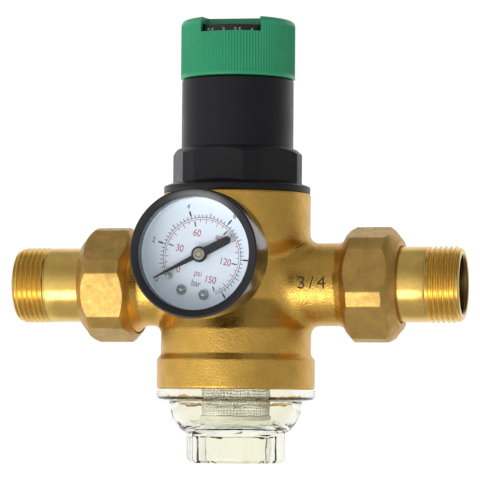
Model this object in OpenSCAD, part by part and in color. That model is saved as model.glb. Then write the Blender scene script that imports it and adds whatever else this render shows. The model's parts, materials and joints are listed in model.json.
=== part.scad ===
// Water pressure regulator, 3/4 inch, with union tailpieces, a pressure gauge and a clear filter bowl.
// The frame's origin is the centre of the inlet tailpiece's end face. +X is the flow direction and +Z is up.

/* [Pipe connections] */
// Distance from the body's axis to the inlet tailpiece's end
inlet_reach = 78.3; // [78:0.1:80]
// Distance from the body's axis to the outlet tailpiece's end
outlet_reach = 79.9; // [79.5:0.1:81]
// Major diameter of the 3/4 inch pipe thread on the tailpieces
pipe_thread_d = 26.4; // [26.2:0.1:26.5]
// Length of the pipe thread on each tailpiece
pipe_thread_length = 12.3; // [10:0.1:13]
// Diameter of the plain shank behind the pipe thread
shank_d = 26.0; // [25.6:0.1:26.1]
// Bore through the tailpieces
tail_bore_d = 20; // [16:0.5:20.4]
// Diameter of the tailpiece's flange inside the union nut
tail_flange_d = 31.8; // [30:0.1:32]

/* [Union nuts] */
// Size across the nut's twelve corners
nut_across_corners = 40.2; // [39.8:0.1:40.8]
// How far the outlet's branch and nut are longer, and the inlet's shorter, than the mean
branch_shift = 2.4; // [1.6:0.1:2.6]
// Mean distance from the body's axis to each nut's inner end
nut_inner_end = 37.4; // [37:0.1:37.6]
// Mean distance from the body's axis to each nut's outer end
nut_outer_end = 56.1; // [55.8:0.1:57]
// Diameter of the union thread on the body's branches
union_thread_d = 33.2; // [33:0.1:33.3]
// Mean distance from the body's axis to the end face of each branch
branch_end = 48; // [47.5:0.1:48.2]
// Thickness of the flat gaskets
gasket_thickness = 1.5; // [1:0.1:1.8]

/* [Body] */
// Diameter of the diaphragm housing
housing_d = 51.4; // [51:0.1:52]
// Diameter of the filter housing
filter_housing_d = 52.2; // [52:0.1:53]
// Diameter of the ring around the bowl's thread
bowl_ring_d = 54.9; // [54.5:0.1:56]
// Diameter of the body's branches
branch_d = 28.6; // [28:0.1:29.4]
// Bore through the branches
branch_bore_d = 19; // [17:0.5:19]
// Height of the face that the bonnet seats on
bonnet_seat_z = 31.7; // [31.6:0.1:31.9]
// Level of the body's bottom face, below the pipe axis
body_bottom_z = -36.3; // [-36.4:0.1:-36.2]
// Height of the gauge ports above the pipe axis
port_z = 8; // [7.5:0.1:8.5]
// Distance from the body's axis to the end face of each gauge port
port_end = 30; // [30:0.1:30.2]
// Diameter of the hole in each gauge port
port_hole_d = 13.2; // [13.2:0.1:13.4]

/* [Bonnet and cap] */
// Diameter of the bonnet's flange
flange_d = 51; // [50:0.1:51.4]
// Size across the twelve corners of the bonnet's grip
bonnet_across_corners = 45.8; // [44:0.1:46.5]
// Height of the grip's upper end
grip_top_z = 46.9; // [46:0.1:48]
// Diameter of the bonnet's spring tower
tower_d = 39; // [38.8:0.1:39.4]
// Height of the tower's step under the cap
tower_step_z = 71.2; // [70:0.1:71.2]
// Diameter of the setting cap at its rim
cap_d = 40; // [39.8:0.1:40.4]
// Height of the cap's top
cap_top_z = 92; // [91.9:0.1:92.2]
// Level of the cap's lower rim
cap_rim_z = 71.6; // [71.6:0.1:72.5]
// Width of the cap's window at the rim
window_w = 22.7; // [20:0.1:23]
// Direction that the window faces, in degrees from the X axis
window_angle = -85.5; // [-90:0.5:-80]

/* [Spring and diaphragm] */
// Wire diameter of the range spring
spring_wire_d = 3.4; // [3:0.1:3.4]
// Mean radius of the range spring
spring_mean_r = 11.5; // [11.4:0.1:12]
// Number of turns in the range spring
spring_turns = 5.5; // [4.5:0.5:5.5]
// Outer diameter of the diaphragm
diaphragm_d = 44.4; // [44:0.1:44.6]

/* [Valve] */
// Outer diameter of the valve insert
insert_d = 21.7; // [21.6:0.02:21.8]
// Diameter of the valve stem
stem_d = 5; // [4.6:0.1:5]
// Diameter of the valve disc
disc_d = 14.8; // [14:0.1:15]

/* [Filter and bowl] */
// Outer diameter of the filter mesh
filter_d = 24; // [23.4:0.1:24.4]
// Diameter of the bowl's flange
bowl_flange_d = 55; // [54:0.1:55]
// Level of the bowl's lowest edge
bowl_bottom_z = -61.7; // [-62:0.1:-61]
// Size across the corners of the bowl's grip
bowl_grip_across_corners = 37.4; // [36:0.1:38]

/* [Gauge] */
// Diameter of the gauge's bezel
bezel_d = 43; // [42.8:0.1:43.4]
// Distance from the body's axis to the front of the bezel
bezel_front = 62; // [61.8:0.1:62.2]
// Distance from the body's axis to the back of the gauge's case
case_back = 42; // [41.5:0.1:42]
// Diameter of the window inside the bezel
bezel_window_d = 37; // [36.4:0.1:37.2]
// Pointer's direction at rest, in degrees from the X axis
pointer_angle = 206.3; // [204:0.1:208]
// Length of the pointer's tip from its axis
pointer_length = 17; // [15:0.1:17.5]

/* [Hidden] */
$fn = 96;
fit = 0.05;          // radial clearance of a running fit
part_gap = 0.3;      // clearance between pieces that move apart
eps = 0.01;          // overlap that keeps a cut or a join clean
through = 1;         // how far a cut runs on past the face it opens

// Twelve-sided grips have six wide flats and six narrow ones, each this many degrees wide
narrow_flat = 15;
bonnet_flat_angle = -64.5;
nut_flat_angle = 17;

// Levels and radii inside the body
diaphragm_seat_z = 26.5;
outlet_floor_z = 4;
filter_ceiling_z = -13;
bowl_thread_top_z = -25.2;
chamber_r = 18;
filter_chamber_r = 20;
diaphragm_bore_r = 22.4;
bowl_thread_r = 23.5;
insert_bore_r = 11;
port_plug_r = 6.5;   // threaded end that fills a gauge port
seal_thickness = 1;
tail_flange_thickness = 3.3;

// Stack on the valve stem
diaphragm_thickness = 1.5;
plate_bottom_z = diaphragm_seat_z + diaphragm_thickness;
plate_top_z = 30.3;
boss_height = 2.7;
nut_across_flats = 8;
washer_bottom_z = 24.3;
disc_bottom_z = -12;
disc_top_z = -8.8;
disc_seal_top_z = -7.3;
seat_bottom_z = -5;
seat_top_z = -2;
insert_groove = 1.5;
insert_ring_levels = [-9.5, 0];

// Spring tower
spring_top_z = 62;
tower_ceiling_z = 76;
tower_top_z = 80;
tower_bore_r = 16;
slot_r = 17.6;
slot_w = 4.4;
slip_ring_z = 29.2;
plug_r = 22.2;       // the bonnet's end that clamps the slip ring and the diaphragm
spindle_r = 5;
journal_r = 4.95;
collar_r = 8;
collar_top_z = 75.1;
hub_r = 12;
hub_top_z = tower_top_z + 3;
spindle_hexagon = 8;
clip_z = 80.45;
clip_thickness = 0.7;
scale_ring_r = 17.6;
scale_ring_bore_r = 14.5;
scale_ring_top_z = 89.2;
cap_plate = 2.3;
cap_hub_r = 7;
cap_hub_z = 81.6;
cap_screw_r = 1.7;
cap_counterbore = 1.6;

// Filter and bowl
filter_bottom_z = -45.5;
filter_top_z = -19.5;
filter_wall = 0.6;
filter_rim_r = filter_d / 2 + 0.4;
bowl_throat_r = 20;
bowl_top_z = -27.7;
bowl_outer_floor_z = -53;
bowl_flange_top_z = body_bottom_z - part_gap;
bowl_floor_z = -49;
bowl_recess_z = -52.5;
bowl_recess_r = 12.6;
bowl_corner_angle = 50.4;

// Gauge, with heights measured forward from the body's axis
dial_back = 50.5;
dial_thickness = 0.6;
dial_front = dial_back + dial_thickness;
pointer_back = 52.8;
dial_turn = 12.5;
fixing_r = 12.8;
fixing_shank_r = 0.75;
fixing_angles = [270 - dial_turn - 17, 270 - dial_turn + 17];
stop_pin_r = 0.7;
stop_pin_place = [12.25, pointer_angle + 7.2];
case_r = 21.2;
case_wall = 1.9;
neck_r = 6.95;
peg_r = 1.6;
lens_back = 56.9;
lens_front = 58;
lens_r = 20.3;
dial_cup_r = 19.2;
bush_r = 1.95;
tube_base_angle = 290;

// Gauge movement
gear_module = 0.4;
pinion_teeth = 8;
sector_full_teeth = 48;
gear_distance = gear_module * (pinion_teeth + sector_full_teeth) / 2;
sector_direction = 200;
sector_place = gear_distance * [cos(sector_direction), sin(sector_direction)];
tail_length = 2.2;
tail_direction = 68;
tail_place = sector_place + tail_length * [cos(tail_direction), sin(tail_direction)];
tip_pin_place = 14.4 * [cos(192), sin(192)];
pillar_places = [[7.5, 5], [5, -7]];
plate_back = 45.4;
plate_front = 49;
plate_thickness = 0.6;
arbor_r = 0.6;
gear_back = 47.5;
gear_thickness = 0.7;
link_back = 46.75;
link_thickness = 0.4;
link_eye_r = 0.95;
link_pin_r = 0.45;
tube_r = 16.2;
tube_back = plate_back + 0.05;
tip_bracket = plate_back + 0.3;

// Points along an arc, from angle a0 to a1
function arc(centre, r, a0, a1, steps = 8) =
    [for (i = [0:steps]) centre + r * [cos(a0 + (a1 - a0) * i / steps), sin(a0 + (a1 - a0) * i / steps)]];

// Corners of a twelve-sided grip whose first narrow flat faces the angle given
function grip_corners(r, turn) =
    [for (k = [0:5], s = [-1, 1]) let (a = turn + 60 * k + s * narrow_flat / 2) r * [cos(a), sin(a)]];

// Moves a shape drawn about the body's axis into the part's frame
module about_body() {
    translate([inlet_reach, 0, 0]) children();
}

// Moves a shape drawn along +Z so that it runs along the pipe axis, outward on one side: 1 is the outlet
module along_pipe(side) {
    about_body() translate([branch_shift, 0, 0]) rotate([0, 90 * side, 0]) children();
}

// Moves a shape drawn along +Z so that it runs outward along a gauge port: front is -Y
module along_port(front = true) {
    about_body() translate([0, 0, port_z]) rotate([front ? 90 : -90, 0, 0]) children();
}

module tube(outer_r, inner_r, low, high) {
    translate([0, 0, low]) difference() {
        cylinder(r = outer_r, h = high - low);
        translate([0, 0, -eps]) cylinder(r = inner_r, h = high - low + 2 * eps);
    }
}

module disc(r, low, high) {
    translate([0, 0, low]) cylinder(r = r, h = high - low);
}

module hexagon_bar(across_flats, low, high, turn = 0) {
    corner_r = across_flats / 2 / cos(30);
    translate([0, 0, low]) rotate([0, 0, turn]) cylinder(r = corner_r, h = high - low, $fn = 6);
}

module ring_of_round_section(mean_r, section_r, z) {
    rotate_extrude() translate([mean_r, z]) circle(r = section_r, $fn = 32);
}

// ---------------------------------------------------------------- body

module body_outline() {
    housing_r = housing_d / 2;
    filter_r = filter_housing_d / 2;
    ring_r = bowl_ring_d / 2;
    draft = 0.3;
    shoulder_r = 4;
    shoulder_z = 17.5;
    waist_r = 21.9;
    waist_top = 11.5;
    waist_low = -4;
    hip_r = 3.5;
    hip_z = -15.5;
    ring_top = -25.4;
    ring_slope = 1.7;
    edge = 0.6;
    polygon(concat(
        [[0, bonnet_seat_z], [housing_r - draft, bonnet_seat_z]],
        arc([housing_r - shoulder_r, shoulder_z], shoulder_r, 0, -80),
        [[waist_r, waist_top], [waist_r, waist_low]],
        arc([filter_r - hip_r, hip_z], hip_r, 70, 0),
        [[filter_r, ring_top + ring_slope], [ring_r, ring_top]],
        [[ring_r, body_bottom_z + edge], [ring_r - edge, body_bottom_z], [0, body_bottom_z]]));
}

module branch_outside(side) {
    root = 10;
    branch_r = branch_d / 2;
    thread_r = union_thread_d / 2;
    flare_r = thread_r - 1;
    flare_length = 2.4;
    thread_start = nut_inner_end - part_gap;
    lead_in = 1;
    along_pipe(side) rotate_extrude() polygon([
        [0, root], [branch_r, root], [branch_r, thread_start - flare_length], [flare_r, thread_start],
        [thread_r, thread_start], [thread_r, branch_end - lead_in], [thread_r - lead_in, branch_end],
        [0, branch_end]]);
}

module port_boss(front) {
    root = 12;
    boss_r = 9.5;
    edge = 0.8;
    along_port(front) rotate_extrude() polygon([
        [0, root], [boss_r, root], [boss_r, port_end - edge], [boss_r - edge, port_end], [0, port_end]]);
}

// Sloping way from the inlet bore down into the filter chamber
module inlet_passage() {
    start = [-23, 0, -1];
    end = [-15, 0, -16];
    passage_r = 6;
    way = end - start;
    about_body() translate(start) rotate([0, 180 - atan2(way.x, -way.z), 0])
        cylinder(r = passage_r, h = norm(way));
}

module valve_body() {
    inlet_bore_start = 24;
    outlet_bore_start = 13;
    port_hole_start = 14;
    color("goldenrod") difference() {
        union() {
            about_body() rotate_extrude() body_outline();
            branch_outside(-1);
            branch_outside(1);
            port_boss(true);
            port_boss(false);
        }
        about_body() disc(diaphragm_bore_r, diaphragm_seat_z, bonnet_seat_z + through);
        about_body() disc(chamber_r, outlet_floor_z, diaphragm_seat_z + eps);
        about_body() disc(insert_bore_r, filter_ceiling_z - eps, outlet_floor_z + eps);
        about_body() disc(filter_chamber_r, bowl_thread_top_z - eps, filter_ceiling_z);
        about_body() disc(bowl_thread_r, body_bottom_z - through, bowl_thread_top_z);
        along_pipe(-1) disc(branch_bore_d / 2, inlet_bore_start, branch_end + through);
        along_pipe(1) disc(branch_bore_d / 2, outlet_bore_start, branch_end + through);
        inlet_passage();
        along_port(true) disc(port_hole_d / 2, port_hole_start, port_end + through);
        along_port(false) disc(port_hole_d / 2, port_hole_start, port_end + through);
    }
}

// ---------------------------------------------------------------- bonnet, cap and setting parts

module bonnet_grip() {
    r = bonnet_across_corners / 2;
    outside = r + 1;
    grip_low = bonnet_seat_z + 1;
    chamfer_r = 3.2;
    chamfer_z = 2.7;
    intersection() {
        translate([0, 0, grip_low]) linear_extrude(grip_top_z - grip_low)
            polygon(grip_corners(r, bonnet_flat_angle));
        rotate_extrude() polygon([
            [0, bonnet_seat_z], [outside, bonnet_seat_z], [outside, grip_top_z - chamfer_z],
            [outside - chamfer_r, grip_top_z], [0, grip_top_z]]);
    }
}

module spring_bonnet() {
    tower_r = tower_d / 2;
    flange_r = flange_d / 2;
    flange_top = bonnet_seat_z + 2.3;
    cone_top = bonnet_seat_z + 3.6;
    cone_r = 22;
    step_edge = 0.5;
    neck_r = 18;
    land_r = 14.4;
    mouth_r = 18.8;
    mouth_top = 32.5;
    throat_r = 17.2;
    throat_top = 40;
    slot_bottom = 50;
    slot_top = 74;
    color("dimgray") about_body() difference() {
        union() {
            rotate_extrude() polygon([
                [0, slip_ring_z], [plug_r, slip_ring_z], [plug_r, bonnet_seat_z], [flange_r, bonnet_seat_z],
                [flange_r, flange_top], [cone_r, cone_top], [tower_r, cone_top],
                [tower_r, tower_step_z - step_edge], [tower_r - step_edge, tower_step_z],
                [neck_r, tower_step_z], [neck_r, tower_top_z], [land_r, tower_top_z], [land_r, hub_top_z],
                [hub_r, hub_top_z], [hub_r, tower_top_z], [0, tower_top_z]]);
            bonnet_grip();
        }
        disc(mouth_r, slip_ring_z - through, mouth_top);
        disc(throat_r, mouth_top - eps, throat_top);
        disc(tower_bore_r, throat_top - eps, tower_ceiling_z);
        disc(journal_r + fit, tower_ceiling_z - through, hub_top_z + through);
        translate([-slot_r, -slot_w / 2, slot_bottom]) cube([2 * slot_r, slot_w, slot_top - slot_bottom]);
    }
}

module slip_ring() {
    bore_r = 18.5;
    color("gainsboro") about_body() tube(plug_r, bore_r, plate_bottom_z, slip_ring_z);
}

// A flat sheet with one round convolution between its clamped rim and its clamped middle
module diaphragm() {
    rim_r = diaphragm_d / 2;
    hole_r = stem_d / 2 + fit;
    roll_r = 15.5;
    under_r = 2.5;
    over_r = 2.9;
    under_z = diaphragm_seat_z;
    over_z = plate_bottom_z;
    color("black") about_body() rotate_extrude() polygon(concat(
        [[hole_r, under_z], [roll_r - under_r, under_z]],
        arc([roll_r, under_z], under_r, 180, 0),
        [[roll_r + under_r, under_z], [rim_r, under_z], [rim_r, over_z], [roll_r + over_r, over_z]],
        arc([roll_r, over_z - 0.4], over_r, 15, 165),
        [[roll_r - over_r, over_z], [hole_r, over_z]]));
}

module diaphragm_plate() {
    plate_r = 12.4;
    boss_r = 8.5;
    color("silver") about_body() difference() {
        union() {
            disc(plate_r, plate_bottom_z, plate_top_z);
            disc(boss_r, plate_bottom_z, plate_top_z + boss_height);
        }
        disc(stem_d / 2 + fit, plate_bottom_z - through, plate_top_z + boss_height + through);
    }
}

module support_washer() {
    washer_r = 11.5;
    color("silver") about_body() tube(washer_r, stem_d / 2 + fit, washer_bottom_z, diaphragm_seat_z);
}

module range_spring() {
    sides = 8;
    rings_per_turn = 16;
    rings = spring_turns * rings_per_turn;
    wire_r = spring_wire_d / 2;
    gap = 0.1;
    low = plate_top_z + wire_r + gap;
    high = spring_top_z - wire_r - gap;
    points = [for (i = [0:rings], j = [0:sides - 1])
        let (a = 360 * i / rings_per_turn, b = 360 * j / sides, r = spring_mean_r + wire_r * cos(b))
        [r * cos(a), r * sin(a), low + (high - low) * i / rings + wire_r * sin(b)]];
    skin = [for (i = [0:rings - 1], j = [0:sides - 1])
        let (k = (j + 1) % sides)
        [i * sides + j, i * sides + k, (i + 1) * sides + k, (i + 1) * sides + j]];
    start_cap = [[for (j = [sides - 1:-1:0]) j]];
    end_cap = [[for (j = [0:sides - 1]) rings * sides + j]];
    color("slategray") about_body() polyhedron(points = points, faces = concat(skin, start_cap, end_cap));
}

module spring_plate() {
    plate_r = 15.4;
    thickness = 4;
    guide_r = 8;
    guide_length = 6;
    key_reach = slot_r - 0.4;
    key_w = slot_w - 0.8;
    color("silver") about_body() difference() {
        union() {
            disc(plate_r, spring_top_z, spring_top_z + thickness);
            disc(guide_r, spring_top_z - guide_length, spring_top_z + eps);
            translate([-key_reach, -key_w / 2, spring_top_z]) cube([2 * key_reach, key_w, thickness]);
        }
        disc(spindle_r + fit, spring_top_z - guide_length - through, spring_top_z + thickness + through);
    }
}

module adjusting_spindle() {
    foot_z = 50;
    collar_thickness = 2;
    groove_r = 4.3;
    groove_z = clip_z - 0.05;
    groove_top = 81.3;
    hexagon_top = 89.3;
    color("darkkhaki") about_body() difference() {
        union() {
            disc(spindle_r, foot_z, collar_top_z - collar_thickness + eps);
            disc(collar_r, collar_top_z - collar_thickness, collar_top_z);
            disc(journal_r, collar_top_z - eps, groove_z);
            disc(groove_r, groove_z - eps, groove_top);
            hexagon_bar(spindle_hexagon, groove_top - eps, hexagon_top);
        }
        disc(cap_screw_r, groove_z, hexagon_top + through);
    }
}

module thrust_washer() {
    color("ivory") about_body() tube(collar_r, journal_r + fit, collar_top_z, tower_ceiling_z - part_gap);
}

module spindle_circlip() {
    clip_r = 6.5;
    clip_bore_r = 4.35;
    mouth_w = 2.4;
    color("gray") about_body() difference() {
        tube(clip_r, clip_bore_r, clip_z, clip_z + clip_thickness);
        translate([clip_bore_r / 2, -mouth_w / 2, clip_z - through])
            cube([clip_r, mouth_w, 2 * through + clip_thickness]);
    }
}

// The window narrows from the rim towards the middle and opens the cap's top
module cap_window() {
    back = 9.5;
    front = cap_d / 2 + 1;
    back_w = window_w - 5.1;
    depth = 5.3;
    rotate([0, 0, window_angle]) translate([0, 0, cap_top_z - depth]) linear_extrude(depth + through)
        polygon([[back, -back_w / 2], [front, -window_w / 2], [front, window_w / 2], [back, back_w / 2]]);
}

module adjusting_cap() {
    cap_r = cap_d / 2;
    skirt_r = 18.35;
    lip = 1;
    rib_depth = 0.4;
    top_round = 1.2;
    head_r = 4.4;
    socket_top = 89.4;
    color("seagreen") about_body() difference() {
        rotate_extrude() polygon(concat(
            [[skirt_r, cap_rim_z], [cap_r, cap_rim_z], [cap_r, cap_rim_z + lip],
                [cap_r - rib_depth, cap_rim_z + lip + rib_depth]],
            arc([cap_r - rib_depth - top_round, cap_top_z - top_round], top_round, 0, 90),
            [[0, cap_top_z], [0, cap_hub_z], [cap_hub_r, cap_hub_z], [cap_hub_r, cap_top_z - cap_plate],
                [skirt_r, cap_top_z - cap_plate]]));
        cap_window();
        hexagon_bar(spindle_hexagon + 0.2, cap_hub_z - through, socket_top);
        disc(cap_screw_r + 0.4, cap_hub_z, cap_top_z + through);
        disc(head_r, cap_top_z - cap_counterbore, cap_top_z + through);
    }
}

module cap_screw() {
    shank_end = 82;
    head_r = 3.9;
    sink = 0.2;
    slot_width = 1;
    slot_depth = 0.7;
    head_top = cap_top_z - sink;
    color("silver") about_body() difference() {
        union() {
            disc(cap_screw_r - fit, shank_end, cap_top_z - cap_counterbore + eps);
            disc(head_r, cap_top_z - cap_counterbore, head_top);
        }
        translate([-head_r - through, -slot_width / 2, head_top - slot_depth])
            cube([2 * (head_r + through), slot_width, slot_depth + through]);
    }
}

module scale_ring() {
    color("black") about_body() tube(scale_ring_r, scale_ring_bore_r, tower_top_z, scale_ring_top_z);
}

// ---------------------------------------------------------------- valve

module valve_stem() {
    foot = 2.6;
    head_z = 36.6;
    spacer_r = 3.2;
    color("silver") about_body() union() {
        disc(stem_d / 2, disc_bottom_z - foot, head_z);
        disc(spacer_r, disc_seal_top_z, washer_bottom_z);
    }
}

module drilled_nut(low, high) {
    difference() {
        hexagon_bar(nut_across_flats, low, high);
        disc(stem_d / 2 + fit, low - through, high + through);
    }
}

module stem_top_nut() {
    height = 3;
    seat = plate_top_z + boss_height;
    color("gray") about_body() drilled_nut(seat, seat + height);
}

module stem_bottom_nut() {
    height = 2.4;
    color("gray") about_body() drilled_nut(disc_bottom_z - height, disc_bottom_z);
}

module valve_disc() {
    disc_r = disc_d / 2;
    lip = 0.7;
    lip_height = 1;
    color("goldenrod") about_body() difference() {
        union() {
            disc(disc_r, disc_bottom_z, disc_top_z);
            tube(disc_r, disc_r - lip, disc_top_z - eps, disc_top_z + lip_height);
        }
        disc(stem_d / 2 + fit, disc_bottom_z - through, disc_top_z + through);
    }
}

module disc_seal() {
    lip_clear = 0.75;
    color("black") about_body() tube(disc_d / 2 - lip_clear, stem_d / 2 + fit, disc_top_z, disc_seal_top_z);
}

module valve_insert() {
    insert_r = insert_d / 2;
    groove_r = 9.5;
    half = insert_groove / 2;
    bottom = -17;
    flange_r = 13;
    flange_top = outlet_floor_z + 2;
    lower_bore_r = 8.5;
    seat_bore_r = 8.3;
    upper_bore_r = 7.4;
    grooves = [for (z = insert_ring_levels)
        each [[insert_r, z - half], [groove_r, z - half], [groove_r, z + half], [insert_r, z + half]]];
    color("whitesmoke") about_body() rotate_extrude() polygon(concat(
        [[lower_bore_r, bottom], [insert_r, bottom]], grooves,
        [[insert_r, outlet_floor_z], [flange_r, outlet_floor_z], [flange_r, flange_top],
            [upper_bore_r, flange_top], [upper_bore_r, seat_top_z], [seat_bore_r, seat_top_z],
            [seat_bore_r, seat_bottom_z], [lower_bore_r, seat_bottom_z]]));
}

module valve_seat() {
    nose_r = 6.2;
    nose_flat = 0.6;
    bevel_r = 7.4;
    seat_r = 8.25;
    base_z = seat_bottom_z + 0.6;
    color("silver") about_body() rotate_extrude() polygon([
        [nose_r, seat_bottom_z], [nose_r + nose_flat, seat_bottom_z], [bevel_r, base_z], [seat_r, base_z],
        [seat_r, seat_top_z], [nose_r, seat_top_z]]);
}

module insert_orings() {
    mean_r = 10.2;
    section_r = 0.68;
    color("black") about_body() union() {
        for (z = insert_ring_levels)
            ring_of_round_section(mean_r, section_r, z);
    }
}

// ---------------------------------------------------------------- filter and bowl

module filter_mesh() {
    mesh_r = filter_d / 2;
    color("lightgray") about_body() tube(mesh_r, mesh_r - filter_wall, filter_bottom_z, filter_top_z);
}

module filter_top_ring() {
    height = 4;
    bore_r = insert_d / 2 + 0.08;
    color("whitesmoke") about_body() tube(filter_rim_r, bore_r, filter_top_z, filter_top_z + height);
}

module filter_end_cap() {
    thickness = 2;
    knob_r = 4;
    knob_height = 0.9;
    low = filter_bottom_z - thickness;
    color("whitesmoke") about_body() union() {
        disc(filter_rim_r, low, filter_bottom_z);
        disc(knob_r, low - knob_height, low + eps);
    }
}

module bowl_oring() {
    mean_r = 21.8;
    section_r = 0.9;
    rest_z = -26.4;
    color("black") about_body() ring_of_round_section(mean_r, section_r, rest_z);
}

// A six-sided grip that runs up into the underside of the bowl
module bowl_grip() {
    r = bowl_grip_across_corners / 2;
    grip_height = 12;
    shaved_r = r - 0.7;
    foot_r = r - 2.2;
    foot_height = 2;
    join_z = -49.5;
    intersection() {
        translate([0, 0, bowl_bottom_z]) rotate([0, 0, bowl_corner_angle])
            cylinder(r = r, h = grip_height + through, $fn = 6);
        rotate_extrude() polygon([
            [0, bowl_bottom_z], [foot_r, bowl_bottom_z], [shaved_r, bowl_bottom_z + foot_height],
            [shaved_r, join_z], [0, join_z]]);
    }
}

module filter_bowl() {
    spigot_r = 23.1;
    rim_r = bowl_flange_d / 2;
    top = bowl_flange_top_z;
    rim_edge = 0.8;
    neck_r = 23.4;
    bulge_r = 11.75;
    floor_r = 14;
    inner_corner_r = bowl_throat_r - floor_r;
    color("beige", 0.45) about_body() difference() {
        union() {
            rotate_extrude() polygon(concat(
                [[bowl_throat_r, bowl_top_z], [spigot_r, bowl_top_z], [spigot_r, top], [rim_r, top],
                    [rim_r, top - 2.5], [rim_r - rim_edge, top - 3.2], [neck_r, top - 3.9]],
                arc([11.2, -41.5], bulge_r, -7, -58, 6),
                [[floor_r, bowl_outer_floor_z], [0, bowl_outer_floor_z], [0, bowl_floor_z]],
                arc([floor_r, bowl_floor_z + inner_corner_r], inner_corner_r, -90, 0, 6)));
            bowl_grip();
        }
        disc(bowl_recess_r, bowl_bottom_z - through, bowl_recess_z);
    }
}

// ---------------------------------------------------------------- tailpieces, gaskets and union nuts

module tailpiece(side) {
    shank_r = shank_d / 2;
    thread_r = pipe_thread_d / 2;
    bore_r = tail_bore_d / 2;
    flange_r = tail_flange_d / 2;
    flange_low = branch_end + gasket_thickness;
    flange_high = flange_low + tail_flange_thickness;
    end = side > 0 ? outlet_reach - branch_shift : inlet_reach + branch_shift;
    thread_start = end - pipe_thread_length;
    color("gold") along_pipe(side) rotate_extrude() polygon([
        [bore_r, flange_low], [flange_r, flange_low], [flange_r, flange_high], [shank_r, flange_high],
        [shank_r, thread_start], [thread_r, thread_start], [thread_r, end], [bore_r, end]]);
}

module inlet_tailpiece() {
    tailpiece(-1);
}

module outlet_tailpiece() {
    tailpiece(1);
}

module gasket(side) {
    gasket_r = 15.6;
    bore_r = tail_bore_d / 2 + 0.2;
    color("dimgray") along_pipe(side) tube(gasket_r, bore_r, branch_end, branch_end + gasket_thickness);
}

module inlet_gasket() {
    gasket(-1);
}

module outlet_gasket() {
    gasket(1);
}

// The forging is turned to a cone at the body's end and domed at the pipe's end
module union_nut(side, turn) {
    r = nut_across_corners / 2;
    outside = r + 1;
    mouth_r = union_thread_d / 2 + 0.35;
    shoulder = branch_end + gasket_thickness + tail_flange_thickness + part_gap;
    inner_cone = 3.6;
    outer_cone = 5.6;
    dome_r = 18.8;
    dome_drop = 2.6;
    face_r = 15.6;
    color("peru") along_pipe(side) difference() {
        intersection() {
            translate([0, 0, nut_inner_end]) linear_extrude(nut_outer_end - nut_inner_end)
                polygon(grip_corners(r, turn));
            rotate_extrude() polygon([[0, nut_inner_end], [mouth_r + 0.2, nut_inner_end],
                [outside, nut_inner_end + inner_cone], [outside, nut_outer_end - outer_cone],
                [dome_r, nut_outer_end - dome_drop], [face_r, nut_outer_end], [0, nut_outer_end]]);
        }
        disc(mouth_r, nut_inner_end - through, shoulder);
        disc(shank_d / 2 + part_gap, shoulder - through, nut_outer_end + through);
    }
}

module inlet_union_nut() {
    union_nut(-1, 90 + nut_flat_angle);
}

module outlet_union_nut() {
    union_nut(1, 90 + nut_flat_angle);
}

// ---------------------------------------------------------------- rear port

module rear_port_plug() {
    plug_end = 22;
    head_r = 8.8;
    head_height = 3;
    key = 6;
    key_depth = 2;
    head_back = port_end + seal_thickness;
    color("goldenrod") along_port(false) difference() {
        union() {
            disc(port_plug_r, plug_end, head_back + eps);
            disc(head_r, head_back, head_back + head_height);
        }
        hexagon_bar(key, port_end - key_depth, head_back + head_height + through);
    }
}

module port_seal(seal_r) {
    tube(seal_r, port_plug_r + fit, port_end, port_end + seal_thickness);
}

module rear_plug_seal() {
    color("black") along_port(false) port_seal(8.6);
}

// ---------------------------------------------------------------- gauge

module gauge_seal() {
    color("firebrick") along_port() port_seal(8.4);
}

// Threaded shank, spanner hexagon, neck through the case and the block that carries the tube
module gauge_socket() {
    shank_end = 21;
    hexagon = 14;
    hexagon_front = 37;
    block_r = 9;
    block_back = case_back + case_wall + fit;
    arm_start = 7;
    arm_length = 10.2;
    arm_w = 2.8;
    bore_r = 2;
    color("goldenrod") along_port() difference() {
        union() {
            disc(port_plug_r, shank_end, port_end + seal_thickness + eps);
            hexagon_bar(hexagon, port_end + seal_thickness, hexagon_front);
            disc(neck_r - fit, hexagon_front - eps, block_back + eps);
            disc(block_r, block_back, plate_back);
            rotate([0, 0, tube_base_angle]) translate([arm_start, -arm_w / 2, block_back])
                cube([arm_length, arm_w, plate_back - block_back]);
        }
        disc(bore_r, shank_end - through, case_back);
    }
}

// Places a shape on each of the two dial fixings
module on_dial_fixings() {
    for (a = fixing_angles)
        rotate([0, 0, a]) translate([fixing_r, 0, 0]) children();
}

module gauge_case() {
    corner_r = 2.5;
    step_front = 53.5;
    rim_r = 20.4;
    inner_r = 19.5;
    color("black") along_port() difference() {
        union() {
            rotate_extrude() polygon(concat(
                [[neck_r, case_back]],
                arc([case_r - corner_r, case_back + corner_r], corner_r, -90, 0),
                [[case_r, step_front], [rim_r, step_front], [rim_r, lens_back], [inner_r, lens_back],
                    [inner_r, case_back + case_wall], [neck_r, case_back + case_wall]]));
            on_dial_fixings() disc(peg_r, case_back + case_wall - through, dial_back);
        }
        on_dial_fixings() disc(fixing_shank_r + fit, case_back + 3, dial_back + through);
    }
}

module gauge_bezel() {
    r = bezel_d / 2;
    bore_r = 20.45;
    back = 53.6;
    edge_r = 0.9;
    edge_length = 1.4;
    window_r = bezel_window_d / 2;
    lip_r = window_r + 0.6;
    lip_drop = 0.6;
    color("black") along_port() rotate_extrude() polygon([
        [bore_r, back], [r, back], [r, bezel_front - edge_length], [r - edge_r, bezel_front],
        [lip_r, bezel_front - lip_drop], [window_r, lens_front], [bore_r, lens_front]]);
}

module gauge_lens() {
    color("white", 0.3) along_port() disc(lens_r, lens_back, lens_front);
}

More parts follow.
